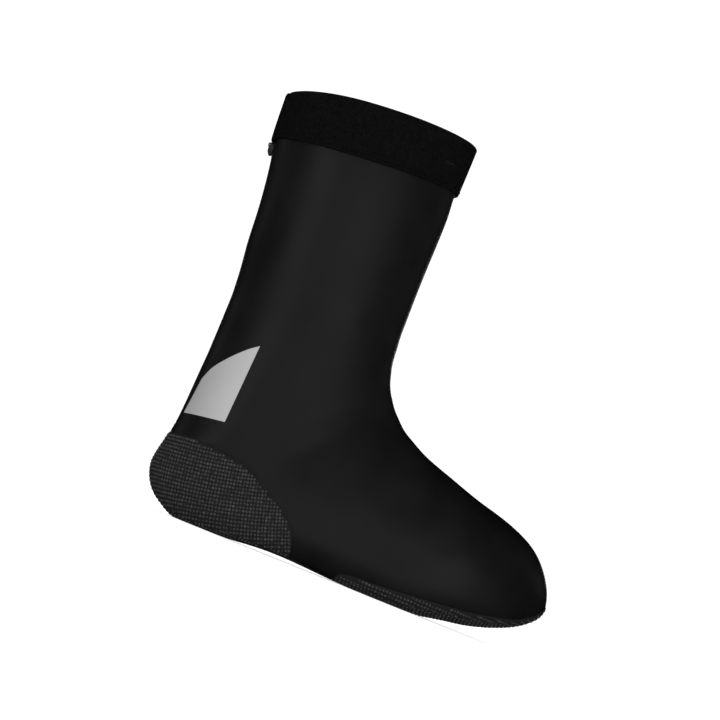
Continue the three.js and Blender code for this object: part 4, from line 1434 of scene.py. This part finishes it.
class OVERSHOE_OT_cuff(bpy.types.Operator):
    """Knitted band round the collar, with its closing end, stitching and bar tack"""

    bl_idname = "overshoe.cuff"
    bl_label = "Cuff"

    def execute(self, context):
        shoe = Overshoe()
        self.band(shoe)
        self.closing_end(shoe)
        self.stitching(shoe)
        return {"FINISHED"}

    @staticmethod
    def foot_and_head(shoe, angle):
        """Heights over the seam of the band's lower and upper edge."""
        trim = shoe.trim
        side = np.sin(angle) ** 2
        return -trim.cuff_sag * side, trim.cuff_height + trim.cuff_fold + trim.cuff_arch * side

    @staticmethod
    def recess(shoe, angle):
        """1 where the closing end lies in the band and 0 beside it."""
        trim = shoe.trim
        across = np.sin(angle) * shoe.band_reach()
        from_outer = smooth((across + trim.tab_width_outer) / RECESS_EDGE + 1)
        from_inner = smooth((trim.tab_width_inner - across) / RECESS_EDGE + 1)
        return np.where(np.cos(angle) > 0, from_outer * from_inner, 0)

    def band(self, shoe):
        """The band's closed section, a double layer folded over at the head, carried round the collar."""
        trim, sizes = shoe.trim, shoe.sizes
        angle = np.arange(BAND_AROUND) * 2 * math.pi / BAND_AROUND
        foot, head = self.foot_and_head(shoe, angle)
        fold = (trim.cuff_proud + sizes.wall) / 2
        middle = (trim.cuff_proud - sizes.wall) / 2
        shelf = trim.cuff_overlap + sizes.gap
        inwards, upwards = BAND_EDGE[-1]
        face = [
            (trim.cuff_proud - inwards + BAND_SWELL * math.sin(share * math.pi) ** 0.5,
             (foot + upwards) * (1 - share) + (head - fold) * share)
            for share in np.linspace(0, 1, BAND_CORNERS[0])
        ]
        over = [
            (middle + fold * math.cos(turn), head + fold * (math.sin(turn) - 1))
            for turn in np.linspace(0, math.pi, BAND_CORNERS[1] + 2)[1:-1]
        ]
        back = [
            (-sizes.wall, shelf * (1 - share) + (head - fold) * share)
            for share in np.linspace(1, 0, BAND_CORNERS[2])
        ]
        lip = [(sizes.gap, foot * (1 - up / shelf) + up) for up in (shelf, shelf / 2, 0)]
        edge = [(trim.cuff_proud - inset, foot + up) for inset, up in BAND_EDGE[:-1]]
        recess = self.recess(shoe, angle) * (trim.tab_thickness + sizes.gap / 2)
        rows = []
        for offset, height in face + over + back + lip + edge:
            sunk = np.maximum(offset - recess, middle) if offset > middle else offset
            rows.append(shoe.form.surface(shoe.form.place_at(height), angle, sunk))
        points = np.stack(rows)
        faces = quads(len(rows), BAND_AROUND, closed=True, looped=True)
        around = np.broadcast_to(angle * sizes.collar_width * BAND_TURN, points.shape[:2])
        uv = np.stack([around, points[..., 2]], axis=-1)
        band = new_mesh("cuff_band", points, faces, uv, crease_angle=BAND_CREASE)
        dress(band, [material(band_knit)], ["cuff"])

    def closing_end(self, shoe):
        """The band's end over the rear: a thin plate with rounded corners, thinner towards its edges."""
        trim, sizes = shoe.trim, shoe.sizes
        s, t = np.meshgrid(np.linspace(-1, 1, TAB_NET[0]), np.linspace(1, -1, TAB_NET[1]))
        power = TAB_SQUARENESS
        edge = np.maximum(np.abs(s), np.abs(t))
        squeeze = edge / np.maximum((np.abs(s) ** power + np.abs(t) ** power) ** (1 / power), TINY)
        reach = trim.tab_width_outer + trim.tab_width_inner
        across = -trim.tab_width_outer + reach * (1 + s * squeeze) / 2
        reach_up = trim.tab_drop + trim.cuff_height + trim.cuff_fold - TAB_LOWER
        height = -trim.tab_drop + reach_up * (1 + t * squeeze) / 2
        angle = shoe.angle_across(across)
        place = shoe.form.place_at(height)
        crown = trim.cuff_proud + sizes.gap - TAB_EDGE * (1 - smooth((1 - edge) / TAB_EDGE_SHARE))
        outer = shoe.form.surface(place, angle, crown)
        inner = shoe.form.surface(place, angle, trim.cuff_proud - trim.tab_thickness + TAB_OFF)
        points, faces = slab(outer, inner)
        uv = np.stack([across, height], axis=-1).reshape(-1, 2)
        tab = new_mesh("cuff_closing_end", points, faces, np.concatenate([uv, uv]), crease_angle=BAND_CREASE)
        dress(tab, [material(band_knit)], ["cuff_tab"])

    def stitching(self, shoe):
        """A row along the band's lower edge, one on its closing end and a bar tack in front."""
        trim, form = shoe.trim, shoe.form
        widths = (trim.tab_width_inner, trim.tab_width_outer)
        from_inner, from_outer = (float(shoe.angle_across(width + SEAM_ASIDE)) for width in widths)
        angle = np.linspace(from_inner, 2 * math.pi - from_outer, PATH_POINTS["band"])
        foot, _ = self.foot_and_head(shoe, angle)
        rows = [seam_row(form, form.place_at(foot + SEAM_UP), angle, trim.cuff_proud, "band")]
        low, under = SEAM_ENDS
        height = np.linspace(low, trim.cuff_height - under, PATH_POINTS["end"])
        angle = np.full(PATH_POINTS["end"], shoe.angle_across(SEAM_ASIDE - trim.tab_width_outer))
        rows.append(seam_row(form, form.place_at(height), angle, trim.cuff_proud + shoe.sizes.gap, "band"))
        stitches = new_mesh("cuff_stitches", *combined(rows))
        dress(stitches, [material(band_thread)])
        self.bar_tack(shoe)

    def bar_tack(self, shoe):
        """A short dense row of lighter stitches near the band's front, on the outer side."""
        form = shoe.form
        middle = math.pi + math.radians(TACK_TURN)
        points = PATH_POINTS["tack"]
        angle = middle + np.linspace(-TACK_HALF, TACK_HALF, points) / (shoe.sizes.collar_width / 2)
        place = form.place_at(np.full(points, TACK_UP))
        path = form.surface(place, angle, shoe.trim.cuff_proud + TACK_LIFT)
        at = np.linspace(0, lengths_along(path)[-1], TACK_STITCHES)
        centres, ups, ways = (
            evenly(path, item, at) for item in (path, form.normals(place, angle), np.gradient(path, axis=0))
        )
        tack = new_mesh("bar_tack", *capsules(centres, np.cross(ups, ways), ups, *TACK_STITCH))
        dress(tack, [material(pale_thread)])


# Corners along each side of the patch, the share of it over which its edge is rounded, what is left of its
# thickness there, and how far its back lies in the fabric.
PATCH_CORNERS = 48
PATCH_EDGE_SHARE = 0.04
PATCH_EDGE = 0.55
PATCH_SINK = 0.05 * MM
# The angles of the form between which the patch lies.
PATCH_ANGLES = (-2.2, -0.05)


class OVERSHOE_OT_patch(bpy.types.Operator):
    """Reflective patch on the outer side beside the heel"""

    bl_idname = "overshoe.patch"
    bl_label = "Reflective patch"

    def execute(self, context):
        shoe = Overshoe()
        trim = shoe.trim
        steps = PATCH_CORNERS
        foot_rear, foot_front, tip = (
            np.array(corner) * shoe.scale for corner in (PATCH_FOOT_REAR, PATCH_FOOT_FRONT, PATCH_TIP)
        )
        bow = spline(np.array([*PATCH_BOW, PATCH_TIP]) * shoe.scale, shoe.EDGE_CORNERS)
        share = np.linspace(0, 1, steps)
        top = evenly(bow, bow, share * lengths_along(bow)[-1])
        s, t = share[None, :, None], share[::-1, None, None]
        bottom = foot_rear + (foot_front - foot_rear) * s
        left = foot_rear + (top[0] - foot_rear) * t
        right = foot_front + (tip - foot_front) * t
        corners = (
            (1 - s) * (1 - t) * foot_rear + s * (1 - t) * foot_front + (1 - s) * t * top[0] + s * t * tip
        )
        # a patch between four sides: opposite sides mixed both ways, less the mix of the corners
        net = (1 - t) * bottom + t * top[None] + (1 - s) * left + s * right - corners
        found = shoe.form.find([0, 2], net.reshape(-1, 2), *PATCH_ANGLES)
        place, angle = (values.reshape(steps, steps) for values in found)
        edge = np.minimum(np.minimum(s, 1 - s), np.minimum(t, 1 - t))[..., 0]
        lift = trim.patch_thickness * (PATCH_EDGE + (1 - PATCH_EDGE) * smooth(edge / PATCH_EDGE_SHARE))
        outer = shoe.form.surface(place, angle, lift)
        inner = shoe.form.surface(place, angle, -PATCH_SINK)
        points, faces = slab(outer, inner)
        uv = np.stack(np.broadcast_arrays(s[..., 0], t[..., 0]), axis=-1).reshape(-1, 2)
        patch = new_mesh("patch_film", points, faces, np.concatenate([uv, uv]))
        dress(patch, [material(bead_film)], ["reflective_patch"])
        return {"FINISHED"}


# Corners of a tape across and down.
TAPE_NET = (15, 220)
# Each tape's face: a bead along the closing line (place, half width, height), and how far its inner edge
# and its outer edge are lowered and over which width.
TAPE_BEAD = (1.1 * MM, 0.8 * MM, 0.25 * MM)
TAPE_INNER_EDGE = (0.5 * MM, 0.6 * MM)
TAPE_OUTER_EDGE = (0.2 * MM, 0.8 * MM)
# The angles of the form between which the zip lies.
ZIP_ANGLES = (-0.9, 0.9)
# The coil: how far its middle lies behind the tapes, half the thickness of its turns and of its edge cords,
# and how far it ends from the zip's own ends.
COIL_BEHIND = 0.7 * MM
COIL_TURN = 0.5 * MM
COIL_CORD = 0.45 * MM
COIL_ENDS = 2 * MM
# The zip's seams: how far beside the tapes and under them, how far the upright ones go below the zip and
# end below the cuff, and how far the one across reaches beyond the tapes.
ZIP_ASIDE = 1.8 * MM
ZIP_UNDER = 1.5 * MM
ZIP_BELOW_CUFF = 3 * MM
ZIP_ACROSS = 1 * MM
UPWARDS = np.array([0, 0, 1.0])


class OVERSHOE_OT_zip(bpy.types.Operator):
    """Rear zip: two tapes with their stitching and the coil behind them"""

    bl_idname = "overshoe.zip"
    bl_label = "Zip"

    def execute(self, context):
        shoe = Overshoe()
        for side, node in ((-1, "zip_tape_outer"), (1, "zip_tape_inner")):
            self.tape(shoe, side, node)
        self.coil(shoe)
        self.stitching(shoe)
        return {"FINISHED"}

    @staticmethod
    def at_rear(shoe, across, height):
        """Places and angles of the shaft's rear at distances across and heights."""
        across, height = np.broadcast_arrays(across, height)
        target = np.stack([across.ravel(), height.ravel()], axis=1)
        return (found.reshape(across.shape) for found in shoe.form.find([1, 2], target, *ZIP_ANGLES))

    def tape(self, shoe, side, node):
        """One tape: flat, with a soft bead along the closing line and a thinner outer edge."""
        sizes, parts = shoe.sizes, shoe.zip
        away = np.linspace(sizes.gap / 3, parts.tape_width, TAPE_NET[0])
        across = (side * away)[:: side][None]
        height = np.linspace(shoe.slot_top - sizes.gap, shoe.zip_foot, TAPE_NET[1])[:, None]
        place, angle = self.at_rear(shoe, across, height)
        away = np.abs(np.broadcast_to(across, place.shape))
        bead_at, bead_width, bead_height = TAPE_BEAD
        bead = bead_height * np.exp(-((away - bead_at) ** 2) / bead_width**2)
        (inner_dip, inner_width), (outer_dip, outer_width) = TAPE_INNER_EDGE, TAPE_OUTER_EDGE
        closing = inner_dip * smooth(1 - away / inner_width)
        hem = outer_dip * smooth((away - parts.tape_width + outer_width) / outer_width)
        outer = shoe.form.surface(place, angle, -parts.tape_sink + bead - closing - hem)
        inner = shoe.form.surface(place, angle, -parts.tape_sink - parts.tape_thickness)
        points, faces = slab(outer, inner)
        uv = np.stack(np.broadcast_arrays(across, height), axis=-1).reshape(-1, 2)
        tape = new_mesh(f"{node}_fabric", points, faces, np.concatenate([uv, uv]))
        dress(tape, [material(tape_weave)], [node])

    def coil(self, shoe):
        """The coil's turns as short rods on both sides of the closing line, half a turn apart.

        A cord on each side joins their outer ends.
        """
        sizes, parts = shoe.sizes, shoe.zip
        depth = -parts.tape_sink - parts.tape_thickness - sizes.gap - COIL_BEHIND
        rods = []
        for side in (-1, 1):
            height = np.arange(shoe.zip_foot + COIL_ENDS, shoe.slot_top - COIL_ENDS, parts.coil_pitch)
            height = height + side * parts.coil_pitch / 4
            place, angle = self.at_rear(shoe, side * parts.coil_width / 4, height)
            up = shoe.form.normals(place, angle)
            turns = shoe.form.surface(place, angle, depth)
            along = np.cross(UPWARDS, up)
            rods.append(capsules(turns, along, up, parts.coil_width / 2, COIL_TURN, rounds=8))
            place, angle = self.at_rear(shoe, side * (parts.coil_width / 2 - COIL_TURN), height)
            up = shoe.form.normals(place, angle)
            cord = shoe.form.surface(place, angle, depth)
            rods.append(tube(cord, np.cross(up, UPWARDS), up, oval(8, COIL_CORD, COIL_CORD)))
        coil = new_mesh("coil_turns", *combined(rods))
        dress(coil, [material(coil_nylon)], ["zip_coil"])

    def stitching(self, shoe):
        """A row of stitches on the upper beside each tape and across the zip's foot."""
        parts, form = shoe.zip, shoe.form
        rows = []
        for side in (-1, 1):
            height = np.linspace(shoe.zip_foot - ZIP_UNDER, form.seam - ZIP_BELOW_CUFF, PATH_POINTS["zip"])
            place, angle = self.at_rear(shoe, side * (parts.tape_width + ZIP_ASIDE), height)
            rows.append(seam_row(form, place, angle, 0.0, "zip"))
        across = np.linspace(-1, 1, PATH_POINTS["foot"]) * (parts.tape_width + ZIP_ACROSS)
        place, angle = self.at_rear(shoe, across, shoe.zip_foot - ZIP_ASIDE)
        rows.append(seam_row(form, place, angle, 0.0, "zip"))
        stitches = new_mesh("zip_stitches", *combined(rows))
        dress(stitches, [material(sewing_thread)])


# Degrees over which an edge of a metal plate is sharp, and so is bevelled.
PLATE_CREASE = 40
BEVEL_STEPS = 3


def prism(name, outline, thickness, bevel, place):
    """A plate with a flat outline (across, up) and its thickness outwards, its edges bevelled.

    The thickness is where its two faces lie, and place(points) moves them to where they belong.
    """
    count = len(outline)
    flat = np.column_stack([np.zeros(count), -outline[:, 0], outline[:, 1]])
    points = np.concatenate([flat - [thickness[0], 0, 0], flat - [thickness[1], 0, 0]])
    faces = [list(range(count))[::-1], list(range(count, 2 * count)), *quads(2, count, closed=True).tolist()]
    mesh = bpy.data.meshes.new(name)
    mesh.from_pydata(place(points).tolist(), [], faces)
    piece = smoothed(name, mesh, PLATE_CREASE)
    rounding = piece.modifiers.new("edges", "BEVEL")
    rounding.width = bevel
    rounding.segments = BEVEL_STEPS
    rounding.limit_method = "ANGLE"
    rounding.angle_limit = math.radians(PLATE_CREASE)
    return piece


def curve_to(start, bend, end, steps=6):
    """Points of a quadratic curve after its start."""
    t = np.linspace(0, 1, steps + 1)[1:, None]
    return (1 - t) ** 2 * np.array(start) + 2 * t * (1 - t) * np.array(bend) + t**2 * np.array(end)


# How far the shield and the rails reach into what lies under them.
SHIELD_SEAT = 0.6 * MM
RAIL_SEAT = 0.5 * MM
# Bevels of the shield, the rails and the pull tab, and how far the pull tab's pin stays inside its cheeks.
SHIELD_BEVEL = 0.25 * MM
RAIL_BEVEL = 0.15 * MM
PULL_BEVEL = 0.2 * MM
PIN_INSIDE = 0.3 * MM
SIDEWAYS = np.array([0, 1.0, 0])


class OVERSHOE_OT_slider(bpy.types.Operator):
    """Zip slider and its pull tab"""

    bl_idname = "overshoe.slider"
    bl_label = "Slider and pull tab"

    def execute(self, context):
        shoe = Overshoe()
        parts = shoe.zip
        form = shoe.form
        foot = shoe.trim.tab_drop + shoe.sizes.gap + parts.slider_length
        seat, above = (
            form.surface(float(form.place_at(-foot + way)), 0.0, shoe.sizes.gap)
            for way in (parts.slider_length / 2, parts.slider_length)
        )
        lean = math.atan2(above[0] - seat[0], above[2] - seat[2])
        turn = np.array(Matrix.Rotation(lean, 3, "Y"))
        eye = parts.pin_thickness / 2 + parts.pin_space
        bridge_top = parts.slider_length / 2 - parts.bridge_wall / 2
        bridge_foot = bridge_top - 2 * (eye + parts.bridge_wall)
        axis = np.array([-parts.slider_thickness - eye, 0, (bridge_foot + bridge_top) / 2])
        metal = material(lacquered_metal)
        thick = (-SHIELD_SEAT, parts.slider_thickness)
        slider = prism("slider_shield", self.shield(parts), thick, SHIELD_BEVEL,
                       lambda points: points @ turn.T + seat)
        dress(slider, [metal], ["zip_slider"])
        half = parts.slider_width / 2
        for side, low in (("outer", -half), ("inner", half - parts.rail_width)):
            rail = prism(f"slider_rail_{side}", self.rail(parts), (low, low + parts.rail_width), RAIL_BEVEL,
                         lambda points: points[:, [1, 0, 2]] * [1, -1, 1] @ turn.T + seat)
            dress(rail, [metal])
        bridge = new_mesh("slider_bridge", *self.bridge(parts, eye, bridge_foot, bridge_top, turn, seat))
        dress(bridge, [metal])
        pin_at = turn @ axis + seat
        half = parts.pull_thickness / 2
        bow = parts.pull_bow / parts.pull_length**2
        pull = prism("pull_plate", self.pull_outline(parts), (-half, half), PULL_BEVEL,
                     lambda points: points + pin_at + points[:, 2:] ** 2 * [bow, 0, 0])
        dress(pull, [metal], ["zip_pull"], PULL_BODY)
        reach = np.array([[-1], [1]]) * (parts.pull_width / 2 - PIN_INSIDE) * SIDEWAYS + pin_at
        across, up = np.array([[1.0, 0, 0]] * 2), np.array([UPWARDS] * 2)
        pin = new_mesh("pull_pin", *tube(reach, across, up, oval(16, *[parts.pin_thickness / 2] * 2)))
        dress(pin, [metal], body=PULL_BODY)
        return {"FINISHED"}

    @staticmethod
    def shield(parts):
        """The slider's shield seen from behind: narrow at its foot, waisted, with rounded shoulders."""
        top, half = parts.slider_length / 2, parts.slider_width / 2
        right = np.concatenate([
            [(0.8 * half, -top)],
            curve_to((0.8 * half, -top), (0.95 * half, -0.3 * top), (half, 0.35 * top)),
            curve_to((half, 0.35 * top), (0.95 * half, top), (0.35 * half, top)),
        ])
        return np.concatenate([right, right[::-1] * [-1, 1]])

    @staticmethod
    def rail(parts):
        """A guard beside the pull tab, seen from the side: how far out from the tape, and up."""
        face, half = parts.slider_thickness, parts.slider_length / 2
        out, root = face + parts.rail_height, face - RAIL_SEAT
        return np.concatenate([
            [(root, -half), (face, -half)],
            curve_to((face, -half), (out - 0.3 * MM, -half), (out, -0.4 * half)),
            curve_to((out, -0.1 * half), (out - 0.2 * MM, 0.6 * half), (face, 0.8 * half)),
            [(root, 0.8 * half)],
        ])

    @staticmethod
    def bridge(parts, eye, foot, top, turn, seat):
        """The arch over the pin: a rounded strip carried out, up and back."""
        wall = parts.bridge_wall
        out = parts.slider_thickness + 2 * eye + wall
        root = -parts.slider_thickness / 2
        low, high, far = foot + wall / 2, top - wall / 2, -out + wall / 2
        line = np.concatenate([
            [(root, low), (far + wall, low)],
            curve_to((far + wall, low), (far, low), (far, low + wall)),
            [(far, high - wall)],
            curve_to((far, high - wall), (far, high), (far + wall, high)),
            [(root, high)],
        ])
        path = np.column_stack([line[:, 0], np.zeros(len(line)), line[:, 1]])
        ahead = unit(np.gradient(path, axis=0))
        sideways = np.broadcast_to(SIDEWAYS, path.shape)
        section = oval(16, parts.bridge_width / 2, wall / 2, 0.5)
        points, faces = tube(path, sideways, np.cross(sideways, ahead), section)
        return points @ turn.T + seat, faces

    @staticmethod
    def pull_outline(parts):
        """The pull tab: two cheeks beside the bridge and a plate that narrows to a round foot."""
        half, length, fork = parts.pull_width / 2, parts.pull_length, parts.fork_depth
        cheek = (parts.pull_width - parts.bridge_width) / 2 - parts.pin_space
        top = parts.pin_thickness / 2
        right = np.concatenate([
            [(half - cheek, -fork), (half - cheek, top), (half, top), (0.84 * half, -length + 0.7 * half)],
            curve_to((0.84 * half, -length + 0.7 * half), (0.8 * half, -length), (0, -length)),
        ])
        return np.concatenate([right, (right[:-1] * [-1, 1])[::-1]])[::-1]


# Lamps round the shoe: degrees from the outer side towards the toe, height and width in metres, and power
# in watts.
LAMPS = (
    ("outer_rear", -31, 0.18, 1.4, 4.5),
    ("outer_middle", -2, 0.18, 0.9, 1.0),
    ("outer_front", 24, 0.18, 1.4, 4.2),
    ("inner", 178, 0.3, 1.8, 6.5),
    ("toe", 120, 0.8, 0.5, 0.3),
    ("heel", 248, 0.5, 0.5, 0.5),
    ("above", 0, 2.3, 0.9, 1.0),
)
LAMP_HEIGHT = 0.35
LAMP_DISTANCE = 2.3
LAMP_AIM = (-0.04, 0, 0.14)
# Strength of the white surround, and the floor: how much it glows, its two tones, the corners of its rings
# and their radii in metres.
SURROUND = 1.1
FLOOR_GLOW = 0.6
FLOOR_TONES = ((0.60, 0.60, 0.60), (0.61, 0.61, 0.61))
FLOOR_CORNERS = 96
FLOOR_RADII = (0.2, 0.6, 1.5, 6.0, 40.0)


class OVERSHOE_OT_stage(bpy.types.Operator):
    """Pale floor and backdrop, soft lights and the camera"""

    bl_idname = "overshoe.stage"
    bl_label = "Stage"

    def execute(self, context):
        scene = context.scene
        stage = scene.overshoe_stage
        self.floor()
        self.lights(scene)
        eye = Vector((stage.along, -stage.distance, stage.height))
        aim = Vector((stage.aim_along, 0, stage.aim_height))
        ahead = (aim - eye).normalized()
        right = ahead.cross(Vector((0, 0, 1))).normalized()
        up = right.cross(ahead)
        turned = Matrix.Rotation(-stage.roll, 3, ahead)
        right, up = turned @ right, turned @ up
        camera = placed("camera", bpy.data.cameras.new("camera"))
        camera.data.lens = stage.lens
        camera.data.sensor_width = 36
        camera.data.clip_start = 0.01
        camera.matrix_world = Matrix.Translation(eye) @ Matrix((right, up, -ahead)).transposed().to_4x4()
        scene.camera = camera
        return {"FINISHED"}

    @staticmethod
    def floor():
        """A round pale floor, far wider than the view."""
        rings = np.concatenate([oval(FLOOR_CORNERS, radius, radius) for radius in FLOOR_RADII])
        points = np.column_stack([rings, np.zeros(len(rings))])
        faces = quads(len(FLOOR_RADII), FLOOR_CORNERS, closed=True)[:, ::-1].tolist()
        mesh = bpy.data.meshes.new("floor")
        mesh.from_pydata(points.tolist(), [], [list(range(FLOOR_CORNERS)), *faces])
        floor = placed("floor", mesh)
        paper = Finish("paper", 0.9, specular=0.1)
        paper.set("Base Color", paper.mix(paper.noise(0.4), *FLOOR_TONES))
        paper.set("Emission Color", (1.0, 1.0, 1.0, 1.0))
        paper.set("Emission Strength", FLOOR_GLOW)
        mesh.materials.append(paper.material)
        floor.visible_glossy = False

    @staticmethod
    def lights(scene):
        """An even white surround that fabrics don't mirror, and soft lamps in front, above and behind."""
        scene.view_settings.view_transform = "Standard"
        world = bpy.data.worlds.new("studio")
        world.use_nodes = True
        background = world.node_tree.nodes["Background"]
        background.inputs["Color"].default_value = (1, 1, 1, 1)
        background.inputs["Strength"].default_value = SURROUND
        world.cycles_visibility.glossy = False
        scene.world = world
        aim = Vector(LAMP_AIM)
        for name, turn, height, width, power in LAMPS:
            light = bpy.data.lights.new(name, "AREA")
            light.shape = "RECTANGLE"
            light.size, light.size_y = width, LAMP_HEIGHT
            light.energy = power
            turn = math.radians(turn)
            place = Vector((LAMP_DISTANCE * math.sin(turn) + aim.x, -LAMP_DISTANCE * math.cos(turn), height))
            facing = (aim - place).to_track_quat("-Z", "Y").to_matrix().to_4x4()
            placed(name, light).matrix_world = Matrix.Translation(place) @ facing


OPERATORS = (
    OVERSHOE_OT_upper,
    OVERSHOE_OT_heel_panel,
    OVERSHOE_OT_toe_panel,
    OVERSHOE_OT_binding,
    OVERSHOE_OT_cuff,
    OVERSHOE_OT_patch,
    OVERSHOE_OT_zip,
    OVERSHOE_OT_slider,
    OVERSHOE_OT_stage,
)
GROUPS = {
    "overshoe_form": FormSizes,
    "overshoe_trim": TrimSizes,
    "overshoe_zip": ZipSizes,
    "overshoe_finishes": Finishes,
    "overshoe_stage": StageSizes,
}


class OVERSHOE_PT_panel(bpy.types.Panel):
    """Lists the sizes and the pieces"""

    bl_label = "Cycling overshoe"
    bl_idname = "OVERSHOE_PT_panel"
    bl_space_type = "VIEW_3D"
    bl_region_type = "UI"
    bl_category = "Overshoe"

    def draw(self, context):
        for name, group in GROUPS.items():
            box = self.layout.box()
            for key in group.__annotations__:
                box.prop(getattr(context.scene, name), key)
        for operator in OPERATORS:
            self.layout.operator(operator.bl_idname)


def register():
    for item in (*GROUPS.values(), *OPERATORS, OVERSHOE_PT_panel):
        bpy.utils.register_class(item)
    for name, group in GROUPS.items():
        setattr(bpy.types.Scene, name, PointerProperty(type=group))


def unregister():
    for name in GROUPS:
        delattr(bpy.types.Scene, name)
    for item in (OVERSHOE_PT_panel, *reversed(OPERATORS), *reversed(GROUPS.values())):
        bpy.utils.unregister_class(item)


def main():
    register()
    for operator in OPERATORS:
        getattr(bpy.ops.overshoe, operator.bl_idname.split(".")[1])()


if __name__ == "__main__":
    main()
